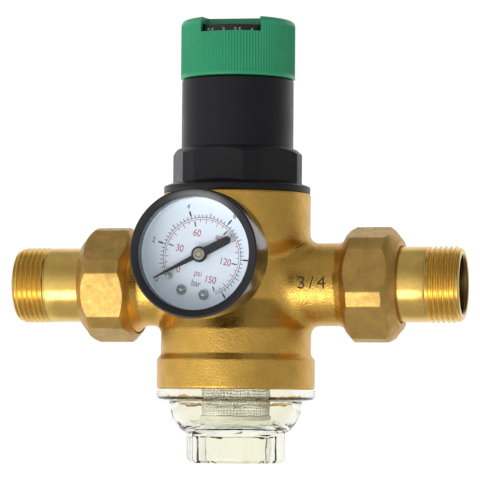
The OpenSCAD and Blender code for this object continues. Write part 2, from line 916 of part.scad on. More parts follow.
module gauge_dial() {
    hole_r = 2.2;
    cup_front = lens_back - 0.2;
    inner_r = dial_cup_r - dial_thickness;
    color("aliceblue") along_port() difference() {
        rotate_extrude() polygon([
            [hole_r, dial_back], [dial_cup_r, dial_back], [dial_cup_r, cup_front], [inner_r, cup_front],
            [inner_r, dial_front], [hole_r, dial_front]]);
        on_dial_fixings() disc(fixing_shank_r + fit, dial_back - through, dial_front + through);
    }
}

module dial_screws() {
    head_r = 1.7;
    head_height = 1.1;
    shank_end = case_back + 4;
    color("silver") along_port() union() {
        on_dial_fixings() rotate_extrude() polygon(concat(
            [[0, shank_end], [fixing_shank_r, shank_end], [fixing_shank_r, dial_front], [head_r, dial_front]],
            arc([0, dial_front], head_height, 20, 90, 4)));
    }
}

module stop_pin() {
    reach = 1.4;
    color("silver") along_port() rotate([0, 0, stop_pin_place[1]]) translate([stop_pin_place[0], 0, 0])
        disc(stop_pin_r, dial_front, pointer_back + reach);
}

// A tapering tip, and a broader tail with a round end, on a short hub
module gauge_pointer() {
    tip_half = 0.2;
    waist_half = 0.95;
    tail_root = 3;
    tail_root_half = 1.45;
    tail_r = 1.3;
    tail_end = 11.35;
    blade = 0.5;
    pointer_hub_r = 2.6;
    hub_back = pointer_back - 0.4;
    hub_front = pointer_back + 1.2;
    color("black") along_port() rotate([0, 0, pointer_angle]) difference() {
        union() {
            translate([0, 0, pointer_back]) linear_extrude(blade) polygon(concat(
                [[pointer_length, tip_half], [0, waist_half], [-tail_root, tail_root_half]],
                arc([tail_r - tail_end, 0], tail_r, 90, 270),
                [[-tail_root, -tail_root_half], [0, -waist_half], [pointer_length, -tip_half]]));
            disc(pointer_hub_r, hub_back, hub_front);
        }
        disc(bush_r + fit, hub_back - through, hub_front + through);
    }
}

module pointer_bush() {
    back = pointer_back - 1.6;
    front = pointer_back + 1.5;
    color("darkkhaki") along_port() tube(bush_r, arbor_r + 0.02, back, front);
}

// Outline of one gear tooth about an angle, from pairs of a radius and half the angle that the tooth spans there
function tooth(middle, levels) =
    let (tip = len(levels) - 1) concat(
        [for (i = [0:tip]) levels[i][0] * [cos(middle - levels[i][1]), sin(middle - levels[i][1])]],
        [for (i = [tip:-1:0]) levels[i][0] * [cos(middle + levels[i][1]), sin(middle + levels[i][1])]]);

module pointer_pinion() {
    levels = [[1.15, 15], [1.4, 11.5], [1.6, 8.5], [1.8, 5.5], [2, 3]];
    width = 1.3;
    corners = [for (i = [0:pinion_teeth - 1])
        each tooth(sector_direction + (i + 0.5) * 360 / pinion_teeth, levels)];
    color("khaki") along_port() union() {
        disc(arbor_r, plate_back + 0.1, pointer_back + 1.6);
        translate([0, 0, gear_back - 0.3]) linear_extrude(width) polygon(corners);
    }
}

module movement_plate(low) {
    centre_r = 3.4;
    eye_r = 2.2;
    arm_w = 4;
    difference() {
        union() {
            disc(centre_r, low, low + plate_thickness);
            for (p = concat([sector_place], pillar_places)) {
                translate([p.x, p.y, 0]) disc(eye_r, low, low + plate_thickness);
                rotate([0, 0, atan2(p.y, p.x)]) translate([0, -arm_w / 2, low])
                    cube([norm(p), arm_w, plate_thickness]);
            }
        }
        for (p = [[0, 0], sector_place])
            translate([p.x, p.y, 0]) disc(arbor_r + fit, low - through, low + plate_thickness + through);
    }
}

module movement_back_plate() {
    color("khaki") along_port() movement_plate(plate_back);
}

module movement_front_plate() {
    color("khaki") along_port() movement_plate(plate_front);
}

module movement_pillars() {
    pillar_r = 1.2;
    color("khaki") along_port() union() {
        for (p = pillar_places)
            translate([p.x, p.y, 0]) disc(pillar_r, plate_back + plate_thickness, plate_front);
    }
}

// A toothed sector with a short tail, whose pin the link pulls
module sector_gear() {
    first = -6;
    last = 2;
    pitch = 360 / sector_full_teeth;
    contact = sector_direction - 180;
    levels = [[9.1, 2.2], [9.35, 1.85], [9.6, 1.45], [9.9, 0.9]];
    rim = [for (i = [first:last]) each tooth(contact + i * pitch, levels)];
    hub_r = 1.6;
    tail_w = 1.4;
    gear_front = gear_back + gear_thickness;
    color("khaki") along_port() translate([sector_place.x, sector_place.y, 0]) union() {
        translate([0, 0, gear_back]) linear_extrude(gear_thickness) polygon(concat([[0, 0]], rim));
        disc(hub_r, gear_back, gear_front);
        disc(arbor_r, plate_back + 0.1, plate_front + plate_thickness - 0.1);
        rotate([0, 0, tail_direction]) {
            translate([0, -tail_w / 2, gear_back]) cube([tail_length + tail_w / 2, tail_w, gear_thickness]);
            translate([tail_length, 0, 0]) disc(link_pin_r, link_back - 0.25, gear_back + 0.1);
        }
    }
}

module tip_link() {
    way = tip_pin_place - tail_place;
    link_w = 1;
    color("khaki") along_port() difference() {
        union() {
            for (p = [tail_place, tip_pin_place])
                translate([p.x, p.y, 0]) disc(link_eye_r, link_back, link_back + link_thickness);
            translate([tail_place.x, tail_place.y, link_back]) rotate([0, 0, atan2(way.y, way.x)])
                translate([0, -link_w / 2, 0]) cube([norm(way), link_w, link_thickness]);
        }
        for (p = [tail_place, tip_pin_place])
            translate([p.x, p.y, 0])
                disc(link_pin_r + fit, link_back - through, link_back + link_thickness + through);
    }
}

module bourdon_tube() {
    sweep = 260;
    section = [1.5, 3.4];
    bracket = [3, 2, 0.6];
    bracket_start = 13.6;
    pin_front = 47.3;
    color("darkgoldenrod") along_port() union() {
        rotate([0, 0, tube_base_angle]) rotate_extrude(angle = sweep)
            translate([tube_r - section.x / 2, tube_back]) square(section);
        rotate([0, 0, tube_base_angle + sweep]) translate([bracket_start, -0.3, tip_bracket]) cube(bracket);
        translate([tip_pin_place.x, tip_pin_place.y, 0]) disc(link_pin_r, tip_bracket, pin_front);
    }
}

module hair_spring() {
    turns = 4;
    steps = 24;
    inner_r = 0.9;
    pitch = 0.6;
    half_thickness = 0.06;
    back = 46.3;
    width = 0.4;
    function spiral(offset) = [for (i = [0:turns * steps])
        let (a = 360 * i / steps, r = inner_r + pitch * i / steps + offset) r * [cos(a), sin(a)]];
    outside = spiral(half_thickness);
    inside = spiral(-half_thickness);
    color("khaki") along_port() translate([0, 0, back]) linear_extrude(width)
        polygon(concat(outside, [for (i = [len(inside) - 1:-1:0]) inside[i]]));
}

valve_body();
spring_bonnet();
slip_ring();
diaphragm();
diaphragm_plate();
support_washer();
valve_stem();
stem_top_nut();
stem_bottom_nut();
valve_disc();
disc_seal();
valve_insert();
valve_seat();
insert_orings();
range_spring();
spring_plate();
adjusting_spindle();
thrust_washer();
spindle_circlip();
adjusting_cap();
cap_screw();
scale_ring();
filter_mesh();
filter_top_ring();
filter_end_cap();
bowl_oring();
filter_bowl();
inlet_tailpiece();
outlet_tailpiece();
inlet_gasket();
outlet_gasket();
inlet_union_nut();
outlet_union_nut();
rear_port_plug();
rear_plug_seal();
gauge_seal();
gauge_socket();
gauge_case();
gauge_bezel();
gauge_lens();
gauge_dial();
dial_screws();
stop_pin();
gauge_pointer();
pointer_bush();
pointer_pinion();
movement_back_plate();
movement_front_plate();
movement_pillars();
sector_gear();
tip_link();
bourdon_tube();
hair_spring();
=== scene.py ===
"""Looks of the water pressure regulator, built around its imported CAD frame.

Shapes are worked out in millimetres about the body's axis, a branch or a gauge port, and turn into metres
and into the row frame when their mesh is made.
"""
import json
import math

import bmesh
import bpy
import numpy as np
from mathutils import Matrix, Vector


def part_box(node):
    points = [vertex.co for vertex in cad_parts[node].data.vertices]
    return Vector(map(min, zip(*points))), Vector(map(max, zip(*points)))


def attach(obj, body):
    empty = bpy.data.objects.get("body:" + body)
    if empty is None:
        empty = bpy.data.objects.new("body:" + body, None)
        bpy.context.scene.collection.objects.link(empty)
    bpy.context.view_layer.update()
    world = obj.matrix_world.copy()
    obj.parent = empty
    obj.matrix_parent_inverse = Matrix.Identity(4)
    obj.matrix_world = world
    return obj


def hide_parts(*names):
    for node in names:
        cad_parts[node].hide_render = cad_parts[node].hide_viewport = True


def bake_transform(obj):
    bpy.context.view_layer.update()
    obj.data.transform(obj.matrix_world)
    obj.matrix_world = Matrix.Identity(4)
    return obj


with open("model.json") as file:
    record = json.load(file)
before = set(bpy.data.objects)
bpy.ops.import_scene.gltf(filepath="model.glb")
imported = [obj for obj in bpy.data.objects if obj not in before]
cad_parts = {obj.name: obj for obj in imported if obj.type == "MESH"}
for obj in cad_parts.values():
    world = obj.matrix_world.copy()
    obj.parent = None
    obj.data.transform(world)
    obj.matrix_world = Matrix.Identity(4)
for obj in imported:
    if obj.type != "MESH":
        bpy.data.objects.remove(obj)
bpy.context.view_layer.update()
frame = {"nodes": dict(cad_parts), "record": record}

MM = 0.001
RECORD = frame["record"]
BODY_OF = {node: body for body, nodes in RECORD["behaviour"]["bodies"].items() for node in nodes}
SLOT_OF = {part["node"]: part["material_slot"] for part in RECORD["subparts"]}


# ---------- driving dimensions, in millimetres

def box_mm(node):
    """Lowest and highest corner of a CAD node."""
    low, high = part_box(node)
    return np.array(low) / MM, np.array(high) / MM


def middle(node):
    low, high = box_mm(node)
    return (low + high) / 2


def levels_of(node):
    """Lowest and highest level of a CAD node."""
    low, high = box_mm(node)
    return low[2], high[2]


AXIS_X = middle("spring_bonnet")[0]
PORT_Z = middle("gauge_bezel")[2]
BRANCH_MIDDLE = (box_mm("inlet_gasket")[0][0] + box_mm("outlet_gasket")[1][0]) / 2
BRANCH_SHIFT = BRANCH_MIDDLE - AXIS_X
BODY_BOTTOM, SEAT_Z = levels_of("valve_body")

NARROW_FLAT = 15  # degrees that a narrow flat of a twelve-sided grip covers
BONNET_FLAT = -64.5  # direction of one narrow flat on the bonnet
NUT_FLAT = 17  # the same on the union nuts
SCALE_TURN = -85.5  # direction of the cap's window and of the scale's middle
PIPE_PITCH = 1.814
POINTER_ANGLE = 206.3
DIAL_TURN = -12.5  # the printed dial sits turned by this much
DIAL_BACK = 50.5  # gauge levels are distances in front of the body's axis
DIAL_FRONT = 51.1
LENS_BACK = 56.9
LENS_FRONT = 58.0
PRINT_SHIFT = (0.3, -0.8, 0)  # the dial is printed a little off its centre
FIXING_R = 12.8  # distance of the dial's two rivets from its centre
DIAL_FIXINGS = (270 + DIAL_TURN - 17, 270 + DIAL_TURN + 17)
MARK_PLACE = 29.6  # middle of the size mark along the pipe
MARK_FLOOR = 13.75  # bottom of its engraving, in front of the pipe's axis
BOX_FACES = [(3, 2, 1, 0), (4, 5, 6, 7), (0, 1, 5, 4), (1, 2, 6, 5), (2, 3, 7, 6), (3, 0, 4, 7)]

ABOUT = Matrix.Translation((AXIS_X, 0, 0))


def along_pipe(side):
    """Turns +Z into the outward direction of the inlet's (-1) or the outlet's (1) branch."""
    return Matrix.Translation((BRANCH_MIDDLE, 0, 0)) @ Matrix.Rotation(math.radians(90 * side), 4, "Y")


# Turns +Z into the front gauge port's outward direction, with +X kept and +Y up.
GAUGE = Matrix.Translation((AXIS_X, 0, PORT_Z)) @ Matrix.Rotation(math.radians(90), 4, "X")


# ---------- shape helpers

def unit(v):
    return v / np.maximum(np.linalg.norm(v, axis=-1, keepdims=True), 1e-9)


def rounded(outline, radii, steps=4):
    """The outline with each corner replaced by a curve of its radius. It may carry one outline per angle."""
    outline = np.asarray(outline, float)
    count = outline.shape[-2]
    radii = np.broadcast_to(radii, count)
    points = []
    for i in range(count):
        corner = outline[..., i, :]
        if radii[i] == 0:
            points.append(corner)
            continue
        before = outline[..., i - 1, :]
        after = outline[..., (i + 1) % count, :]
        u = unit(before - corner)
        v = unit(after - corner)
        half = 0.5 * np.arccos(np.clip((u * v).sum(-1, keepdims=True), -0.9999, 0.9999))
        room = [np.linalg.norm(end - corner, axis=-1, keepdims=True) for end in (before, after)]
        reach = np.minimum(radii[i] / np.tan(half), 0.48 * np.minimum(*room))
        pull = 1 - 4 / 3 * np.tan((math.pi - 2 * half) / 4) * np.tan(half)
        start, end = corner + u * reach, corner + v * reach
        lead, trail = corner + u * reach * pull, corner + v * reach * pull
        for t in np.linspace(0, 1, steps + 1):
            s = 1 - t
            points.append(s**3 * start + 3 * s * s * t * lead + 3 * s * t * t * trail + t**3 * end)
    return np.stack(points, -2)


def arc(centre, radius, first, last, steps=8):
    angles = np.radians(np.linspace(first, last, steps + 1))
    return [(centre[0] + radius * math.cos(a), centre[1] + radius * math.sin(a)) for a in angles]


def even_angles(count):
    return np.linspace(0, 360, count + 1)


def revolve(outline, angles):
    """Points and faces of a closed outline of (radius, height) turned about Z. angles run from 0 to 360."""
    outline = np.asarray(outline, float)
    outline = np.broadcast_to(outline, (len(angles),) + outline.shape[-2:])
    a = np.radians(angles)[:, None]
    points = np.stack([outline[..., 0] * np.cos(a), outline[..., 0] * np.sin(a), outline[..., 1]], -1)
    count = outline.shape[1]
    faces = []
    for i in range(len(angles) - 1):
        for j in range(count):
            k = (j + 1) % count
            faces.append((i * count + j, i * count + k, (i + 1) * count + k, (i + 1) * count + j))
    return points.reshape(-1, 3), faces


def around(radius, turn, height):
    """Points by radius, angle in radians and height, each a number or an array."""
    x, y = radius * np.cos(turn), radius * np.sin(turn)
    return np.stack([x, y, height + 0 * x], 1)


def per_angle(rows, angles):
    """One outline per angle. Each row is a radius and a height, as numbers or as arrays over the angles."""
    blank = np.ones_like(angles)
    return np.stack([np.stack([blank * r, blank * z], 1) for r, z in rows], 1)


def rounded_per_angle(rows, angles):
    """The same for rows that also give the radius of their corner."""
    return rounded(per_angle([row[:2] for row in rows], angles), [row[2] for row in rows])


def grip_radius(angles, corner_radius, corners, softness):
    """Distance from the axis to a prism's side at each angle, with slightly rounded corners."""
    places = corner_radius * np.exp(1j * np.radians(corners))
    nexts = np.roll(places, -1)
    normals = (places + nexts) / np.abs(places + nexts)
    distances = np.abs(places + nexts) / 2
    rays = np.exp(1j * np.radians(angles))[:, None]
    along = (rays * np.conj(normals)).real
    reach = np.where(along > 0.3, distances / np.maximum(along, 0.3), 1e3)
    least = reach.min(1, keepdims=True)
    return (least - softness * np.log(np.exp((least - reach) / softness).sum(1, keepdims=True)))[:, 0]


def grip_corners(turn):
    """Corner angles of a twelve-sided grip whose first narrow flat faces turn."""
    return np.array([turn + 60 * k + s * NARROW_FLAT / 2 for k in range(6) for s in (-1, 1)])


def grip_angles(corners):
    """Even angles from 0 to 360, with more of them close to each corner."""
    near = np.array([-2.4, -1.6, -1.1, -0.7, -0.4, -0.15, 0.15, 0.4, 0.7, 1.1, 1.6, 2.4])
    extra = (np.asarray(corners)[:, None] + near).ravel() % 360
    angles = np.unique(np.round(np.concatenate([np.arange(0, 360, 2.0), extra]), 3))
    return np.append(angles[angles < 359.99], 360.0)


def join(pieces):
    """One list of points and one of faces from several pieces' points and faces."""
    points, faces = [], []
    for new_points, new_faces in pieces:
        faces += [[k + len(points) for k in face] for face in new_faces]
        points += np.asarray(new_points, float).tolist()
    return points, faces


def mesh_object(name, points, faces, place=ABOUT, smooth=35, weld=0.002):
    mesh = bpy.data.meshes.new(name)
    mesh.from_pydata(np.asarray(points, float).reshape(-1, 3).tolist(), [], [tuple(f) for f in faces])
    bm = bmesh.new()
    bm.from_mesh(mesh)
    bmesh.ops.remove_doubles(bm, verts=bm.verts, dist=weld)
    bmesh.ops.dissolve_degenerate(bm, edges=bm.edges, dist=weld / 4)
    bmesh.ops.recalc_face_normals(bm, faces=bm.faces)
    bm.to_mesh(mesh)
    bm.free()
    mesh.transform(Matrix.Scale(MM, 4) @ place)
    shade(mesh, smooth)
    obj = bpy.data.objects.new(name, mesh)
    bpy.context.collection.objects.link(obj)
    return obj


def turning(name, outline, sides, place=ABOUT, smooth=35):
    """A solid turned from one closed outline of (radius, height)."""
    return mesh_object(name, *revolve(outline, even_angles(sides)), place, smooth)


def shade(mesh, smooth):
    mesh.shade_smooth()
    mesh.set_sharp_from_angle(angle=math.radians(smooth))


def apply_modifiers(obj):
    graph = bpy.context.evaluated_depsgraph_get()
    mesh = bpy.data.meshes.new_from_object(obj.evaluated_get(graph))
    obj.modifiers.clear()
    obj.data = mesh


def cut(obj, *cutters, smooth=35):
    """Takes the cutters' volumes away from obj and deletes the cutters."""
    for cutter in cutters:
        step = obj.modifiers.new("cut", "BOOLEAN")
        step.operation = "DIFFERENCE"
        step.solver = "MANIFOLD"
        step.object = cutter
    apply_modifiers(obj)
    for cutter in cutters:
        bpy.data.objects.remove(cutter)
    shade(obj.data, smooth)


def prism(name, outline, low, high, place=ABOUT):
    """A closed solid of a flat outline between two heights."""
    outline = np.asarray(outline, float)
    count = len(outline)
    points = [(x, y, z) for z in (low, high) for x, y in outline]
    sides = [(i, (i + 1) % count, count + (i + 1) % count, count + i) for i in range(count)]
    ends = [tuple(range(count - 1, -1, -1)), tuple(range(count, 2 * count))]
    return mesh_object(name, points, sides + ends, place)


def circle(radius, count=64):
    angles = np.linspace(0, 2 * math.pi, count, endpoint=False)
    return [(radius * math.cos(a), radius * math.sin(a)) for a in angles]


def on_dial(angle, radius):
    return radius * math.cos(math.radians(angle)), radius * math.sin(math.radians(angle))


def turned(angle, points):
    a = math.radians(angle)
    return [(x * math.cos(a) - y * math.sin(a), x * math.sin(a) + y * math.cos(a)) for x, y in points]


def trim_for(obj, node, material=None):
    """obj rides with a CAD node and shares its material slot, and its material unless another is given."""
    obj.data.materials.clear()
    obj.data.materials.append(material or MATERIALS[SLOT_OF[node]])
    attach(obj, BODY_OF[node])


def stand_for(obj, node, material=None):
    """obj takes the place of a CAD node."""
    trim_for(obj, node, material)
    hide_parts(node)


# ---------- materials

def new_material(name):
    material = bpy.data.materials.new(name)
    material.use_nodes = True
    tree = material.node_tree
    return material, tree, tree.nodes["Principled BSDF"]


def add(tree, kind, inputs=None, **settings):
    node = tree.nodes.new("ShaderNode" + kind)
    for key, value in settings.items():
        setattr(node, key, value)
    for key, value in (inputs or {}).items():
        if isinstance(value, bpy.types.NodeSocket):
            tree.links.new(value, node.inputs[key])
        else:
            node.inputs[key].default_value = value
    return node


def grain(tree, size, detail=2.0, stretch=(1, 1, 1)):
    """Noise from 0 to 1 with features about size millimetres across, drawn out along an axis by stretch."""
    coords = add(tree, "TexCoord")
    scale = [1 / (size * MM * s) for s in stretch]
    mapping = add(tree, "Mapping", {"Vector": coords.outputs["Object"], "Scale": scale})
    noise = add(tree, "TexNoise", {"Vector": mapping.outputs[0], "Scale": 1.0, "Detail": detail})
    return noise.outputs["Fac"]


def spread(tree, value, low, high, start=0.3, end=0.7, curve="LINEAR"):
    """Maps start to end onto low to high. As given, start to end is the middle of a noise."""
    limits = {"From Min": start, "From Max": end, "To Min": low, "To Max": high}
    return add(tree, "MapRange", {"Value": value, **limits}, interpolation_type=curve).outputs[0]


def calculate(tree, operation, *values):
    return add(tree, "Math", dict(enumerate(values)), operation=operation).outputs[0]


def blend_colours(tree, amount, first, second):
    node = add(tree, "Mix", {"Factor": amount}, data_type="RGBA")
    for key, value in (("A", first), ("B", second)):
        socket = [s for s in node.inputs if s.name == key and s.type == "RGBA"][0]
        if isinstance(value, bpy.types.NodeSocket):
            tree.links.new(value, socket)
        else:
            socket.default_value = (*value, 1)
    return [s for s in node.outputs if s.type == "RGBA"][0]


def surface(tree, shader, tone, roughness, layers):
    """Links colour and roughness, and stacks bump layers, each a (height, depth in millimetres)."""
    tree.links.new(tone, shader.inputs["Base Color"])
    tree.links.new(roughness, shader.inputs["Roughness"])
    normal = None
    for height, depth in layers:
        inputs = {"Height": height, "Distance": depth * MM, "Strength": 1.0}
        if normal:
            inputs["Normal"] = normal
        normal = add(tree, "Bump", inputs).outputs[0]
    tree.links.new(normal, shader.inputs["Normal"])


def scaled(colour, factor):
    return tuple(c * factor for c in colour)


def patches(tree, colour, size, depth):
    """The colour in broad darker and lighter patches."""
    amount = spread(tree, grain(tree, size), 0, 1)
    return blend_colours(tree, amount, scaled(colour, 1 - depth), scaled(colour, 1 + depth))


def metal(name, colour, rough, patch=9, patch_depth=0.16, pits=0.5, pit_depth=0.02, waves=3, wave_depth=0.02,
          lines=None, line_depth=0.004):
    """Cast, forged or turned metal: broad colour patches, fine pits, soft waves and, if turned, fine lines.

    patch, pits and waves are the features' sizes in millimetres, and so are all depths but a patch's.
    """
    material, tree, shader = new_material(name)
    shader.inputs["Metallic"].default_value = 1.0
    tone = patches(tree, colour, patch, patch_depth)
    speckle = spread(tree, grain(tree, pits, 1), 0, 1, 0.25, 0.75)
    tone = blend_colours(tree, spread(tree, speckle, 0, 0.3, 0.5, 1), tone, scaled(colour, 0.55))
    layers = [(grain(tree, pits, 3), pit_depth), (grain(tree, waves, 1), wave_depth)]
    if lines:
        layers.append((grain(tree, 0.25, 2, lines), line_depth))
    surface(tree, shader, tone, spread(tree, grain(tree, patch / 3), *rough), layers)
    return material


def plastic(name, colour, rough, pits=0.4, pit_depth=0.008, patch=12, patch_depth=0.12, gloss=0.5):
    """Moulded plastic, rubber or paint: faint colour patches, a fine moulded grain and slow waves."""
    material, tree, shader = new_material(name)
    shader.inputs["Specular IOR Level"].default_value = gloss
    layers = [(grain(tree, pits, 2), pit_depth), (grain(tree, 6, 1), 0.03)]
    tone = patches(tree, colour, patch, patch_depth)
    surface(tree, shader, tone, spread(tree, grain(tree, patch / 2, 4), *rough), layers)
    return material


def clear(name, colour, rough, ior, waves=5, wave_depth=0.02):
    """Clear moulding or glass. Shadow rays pass through it, so that it lights what is behind it."""
    material, tree, shader = new_material(name)
    tone = blend_colours(tree, spread(tree, grain(tree, 14), 0, 1), scaled(colour, 0.98), colour)
    shader.inputs["Transmission Weight"].default_value = 1.0
    shader.inputs["IOR"].default_value = ior
    layers = [(grain(tree, waves, 1), wave_depth)]
    surface(tree, shader, tone, spread(tree, grain(tree, 8), *rough), layers)
    passing = add(tree, "BsdfTransparent", {"Color": (*scaled(colour, 0.96), 1)})
    path = add(tree, "LightPath")
    choice = {0: path.outputs["Is Shadow Ray"], 1: shader.outputs[0], 2: passing.outputs[0]}
    mix = add(tree, "MixShader", choice)
    tree.links.new(mix.outputs[0], tree.nodes["Material Output"].inputs["Surface"])
    return material


def tarnish_inside(material, radius, colour):
    """Painted shade: darkens the metal that is nearer than radius to the pipe's axis, where the inside of the
    bore lies in shadow.
    """
    tree = material.node_tree
    socket = tree.nodes["Principled BSDF"].inputs["Base Color"]
    tone = socket.links[0].from_socket
    coords = add(tree, "TexCoord")
    parts = add(tree, "SeparateXYZ", {"Vector": coords.outputs["Object"]})
    flat = add(tree, "CombineXYZ", {"Y": parts.outputs["Y"], "Z": parts.outputs["Z"]})
    away = add(tree, "VectorMath", {0: flat.outputs[0]}, operation="LENGTH")
    inside = spread(tree, away.outputs["Value"], 0, 1, radius * MM, (radius - 0.4) * MM)
    tree.links.new(blend_colours(tree, inside, tone, colour), socket)


MATERIALS = {
    "body_brass": metal(
        "cast_brass", (0.70, 0.42, 0.09), (0.27, 0.37), patch=7, patch_depth=0.1, pits=0.6, pit_depth=0.14,
        waves=2.2, wave_depth=0.05),
    "nut_brass": metal(
        "forged_brass", (0.56, 0.35, 0.10), (0.36, 0.48), patch=5, pit_depth=0.03, waves=2.4,
        wave_depth=0.04),
    "tail_brass": metal(
        "turned_brass", (0.80, 0.53, 0.14), (0.13, 0.2), patch=6, patch_depth=0.06, pits=0.7, pit_depth=0.003,
        wave_depth=0.004, lines=(1, 40, 40), line_depth=0.006),
    "movement_brass": metal(
        "stamped_brass", (0.70, 0.55, 0.28), (0.28, 0.38), pit_depth=0.006, wave_depth=0.006),
    "pointer_nickel": metal("pointer_nickel", (0.42, 0.42, 0.37), (0.25, 0.35), patch=2, pit_depth=0.01),
    "stainless": metal(
        "turned_stainless", (0.62, 0.62, 0.60), (0.22, 0.32), patch_depth=0.06, pit_depth=0.004,
        wave_depth=0.005, lines=(40, 40, 1)),
    "rivet_steel": metal(
        "rivet_steel", (0.42, 0.42, 0.42), (0.08, 0.14), patch_depth=0.05, pit_depth=0.003, wave_depth=0.003),
    "spring_steel": metal(
        "spring_wire", (0.42, 0.42, 0.43), (0.28, 0.38), patch_depth=0.08, pit_depth=0.006, wave_depth=0.006),
    "filter_steel": metal("woven_steel", (0.86, 0.86, 0.80), (0.35, 0.45), pits=0.35, pit_depth=0.03),
    "bonnet_plastic": plastic(
        "black_nylon", (0.006, 0.006, 0.008), (0.32, 0.42), pits=0.5, pit_depth=0.012, gloss=0.32),
    "cap_plastic": plastic("green_plastic", (0.02, 0.34, 0.155), (0.3, 0.42), patch_depth=0.06, pits=0.5),
    "black_scale": plastic("scale_black", (0.012, 0.012, 0.013), (0.4, 0.5)),
    "rubber": plastic("seal_rubber", (0.018, 0.018, 0.018), (0.55, 0.7), pit_depth=0.015),
    "fibre": plastic("pressed_fibre", (0.32, 0.09, 0.06), (0.6, 0.75), pit_depth=0.03),
    "insert_plastic": plastic("white_acetal", (0.78, 0.78, 0.73), (0.35, 0.5)),
    "bowl_plastic": clear("clear_bowl", (0.97, 0.965, 0.86), (0.0, 0.03), 1.36, waves=4, wave_depth=0.12),
    "gauge_black": plastic("gauge_enamel", (0.004, 0.004, 0.006), (0.10, 0.16), pits=0.8, pit_depth=0.003),
    "gauge_window": clear("gauge_glass", (0.99, 0.995, 1.0), (0.0, 0.01), 1.3, wave_depth=0.002),
    "dial_white": plastic("dial_paint", (0.80, 0.88, 0.96), (0.35, 0.45), pit_depth=0.004, patch_depth=0.02),
    "pointer_black": plastic("pointer_enamel", (0.004, 0.004, 0.005), (0.3, 0.4), pit_depth=0.004, gloss=0.2),
}
# Painted shade inside the tailpieces' bores: dark brown where the bore lies in shadow.
tarnish_inside(MATERIALS["tail_brass"], 10.7, (0.16, 0.115, 0.04))
PRINT_BLACK = plastic("print_black", (0.008, 0.008, 0.012), (0.5, 0.6), pit_depth=0.002, gloss=0.2)
PRINT_RED = plastic("print_crimson", (0.42, 0.02, 0.05), (0.5, 0.6), pit_depth=0.002, gloss=0.2)
PRINT_WHITE = plastic("print_white", (0.8, 0.8, 0.8), (0.5, 0.6), pit_depth=0.002)
# Painted shade: a dark layer on the floor of the engraved size mark.
MARK_SHADE = plastic("mark_painted_shade", (0.09, 0.055, 0.02), (0.5, 0.6), pit_depth=0.01)


# ---------- body casting

def outline_distance(points, outline):
    """Signed distance from flat points to a closed outline, negative inside."""
    outline = np.asarray(outline, float)
    nearest = np.full(len(points), np.inf)
    inside = np.zeros(len(points), bool)
    for start, end in zip(outline, np.roll(outline, -1, 0)):
        edge = end - start
        away = points - start
        t = np.clip(away @ edge / max(edge @ edge, 1e-12), 0, 1)
        nearest = np.minimum(nearest, ((away - t[:, None] * edge) ** 2).sum(1))
        if edge[1] != 0:
            crosses = (start[1] > points[:, 1]) != (end[1] > points[:, 1])
            inside ^= crosses & (points[:, 0] < start[0] + away[:, 1] * edge[0] / edge[1])
    return np.where(inside, -1, 1) * np.sqrt(nearest)


def smooth_min(a, b, radius):
    share = np.maximum(radius - np.abs(a - b), 0) / radius
    return np.minimum(a, b) - share * share * radius / 4


def capped(radial, level):
    """Signed distance to a cylinder, from those to its side and to its ends."""
    return np.minimum(np.maximum(radial, level), 0) + np.hypot(np.maximum(radial, 0), np.maximum(level, 0))


def bore(points, axis, radius, low, high, centre=(0, 0)):
    """Signed distance to a cylinder whose axis is 0, 1 or 2, between two levels on that axis."""
    across = [i for i in range(3) if i != axis]
    radial = np.hypot(points[:, across[0]] - centre[0], points[:, across[1]] - centre[1]) - radius
    return capped(radial, np.abs(points[:, axis] - (low + high) / 2) - (high - low) / 2)


def housing_outline():
    """The casting's turned outline about its axis, from inside the axis outward."""
    housing_r = 25.7
    filter_r = 26.1
    ring_r = 27.45
    waist_r = 21.9
    outline = [(-5, SEAT_Z), (housing_r, SEAT_Z), (housing_r, 14.2), (waist_r, 9.0), (waist_r, -5.5),
               (filter_r - 1.2, -12), (filter_r, -15.5), (filter_r, -24.3), (ring_r, -26.0),
               (ring_r, BODY_BOTTOM), (-5, BODY_BOTTOM)]
    return rounded(outline, [0, 0.7, 3.6, 3, 2.5, 3, 2, 1.0, 0.9, 0.8, 0], 5)


def branch_outline():
    """Outline of one branch with its union collar and thread end, along the pipe."""
    branch_r = 14.3
    thread_r = 16.6
    collar = 37.1
    end = 48.0
    outline = [(-5, 5), (branch_r, 5), (branch_r, collar - 2.4), (thread_r - 0.9, collar),
               (thread_r, collar + 0.6), (thread_r, end - 1), (thread_r - 1, end), (-5, end)]
    return rounded(outline, [0, 0, 2, 0.6, 0.4, 0.4, 0.4, 0], 4)


def port_outline():
    """Outline of one gauge port's boss."""
    outline = [(-5, 12), (9.5, 12), (9.5, 30), (-5, 30)]
    return rounded(outline, [0, 0, 0.8, 0], 4)


HOUSING, BRANCH, PORT = housing_outline(), branch_outline(), port_outline()


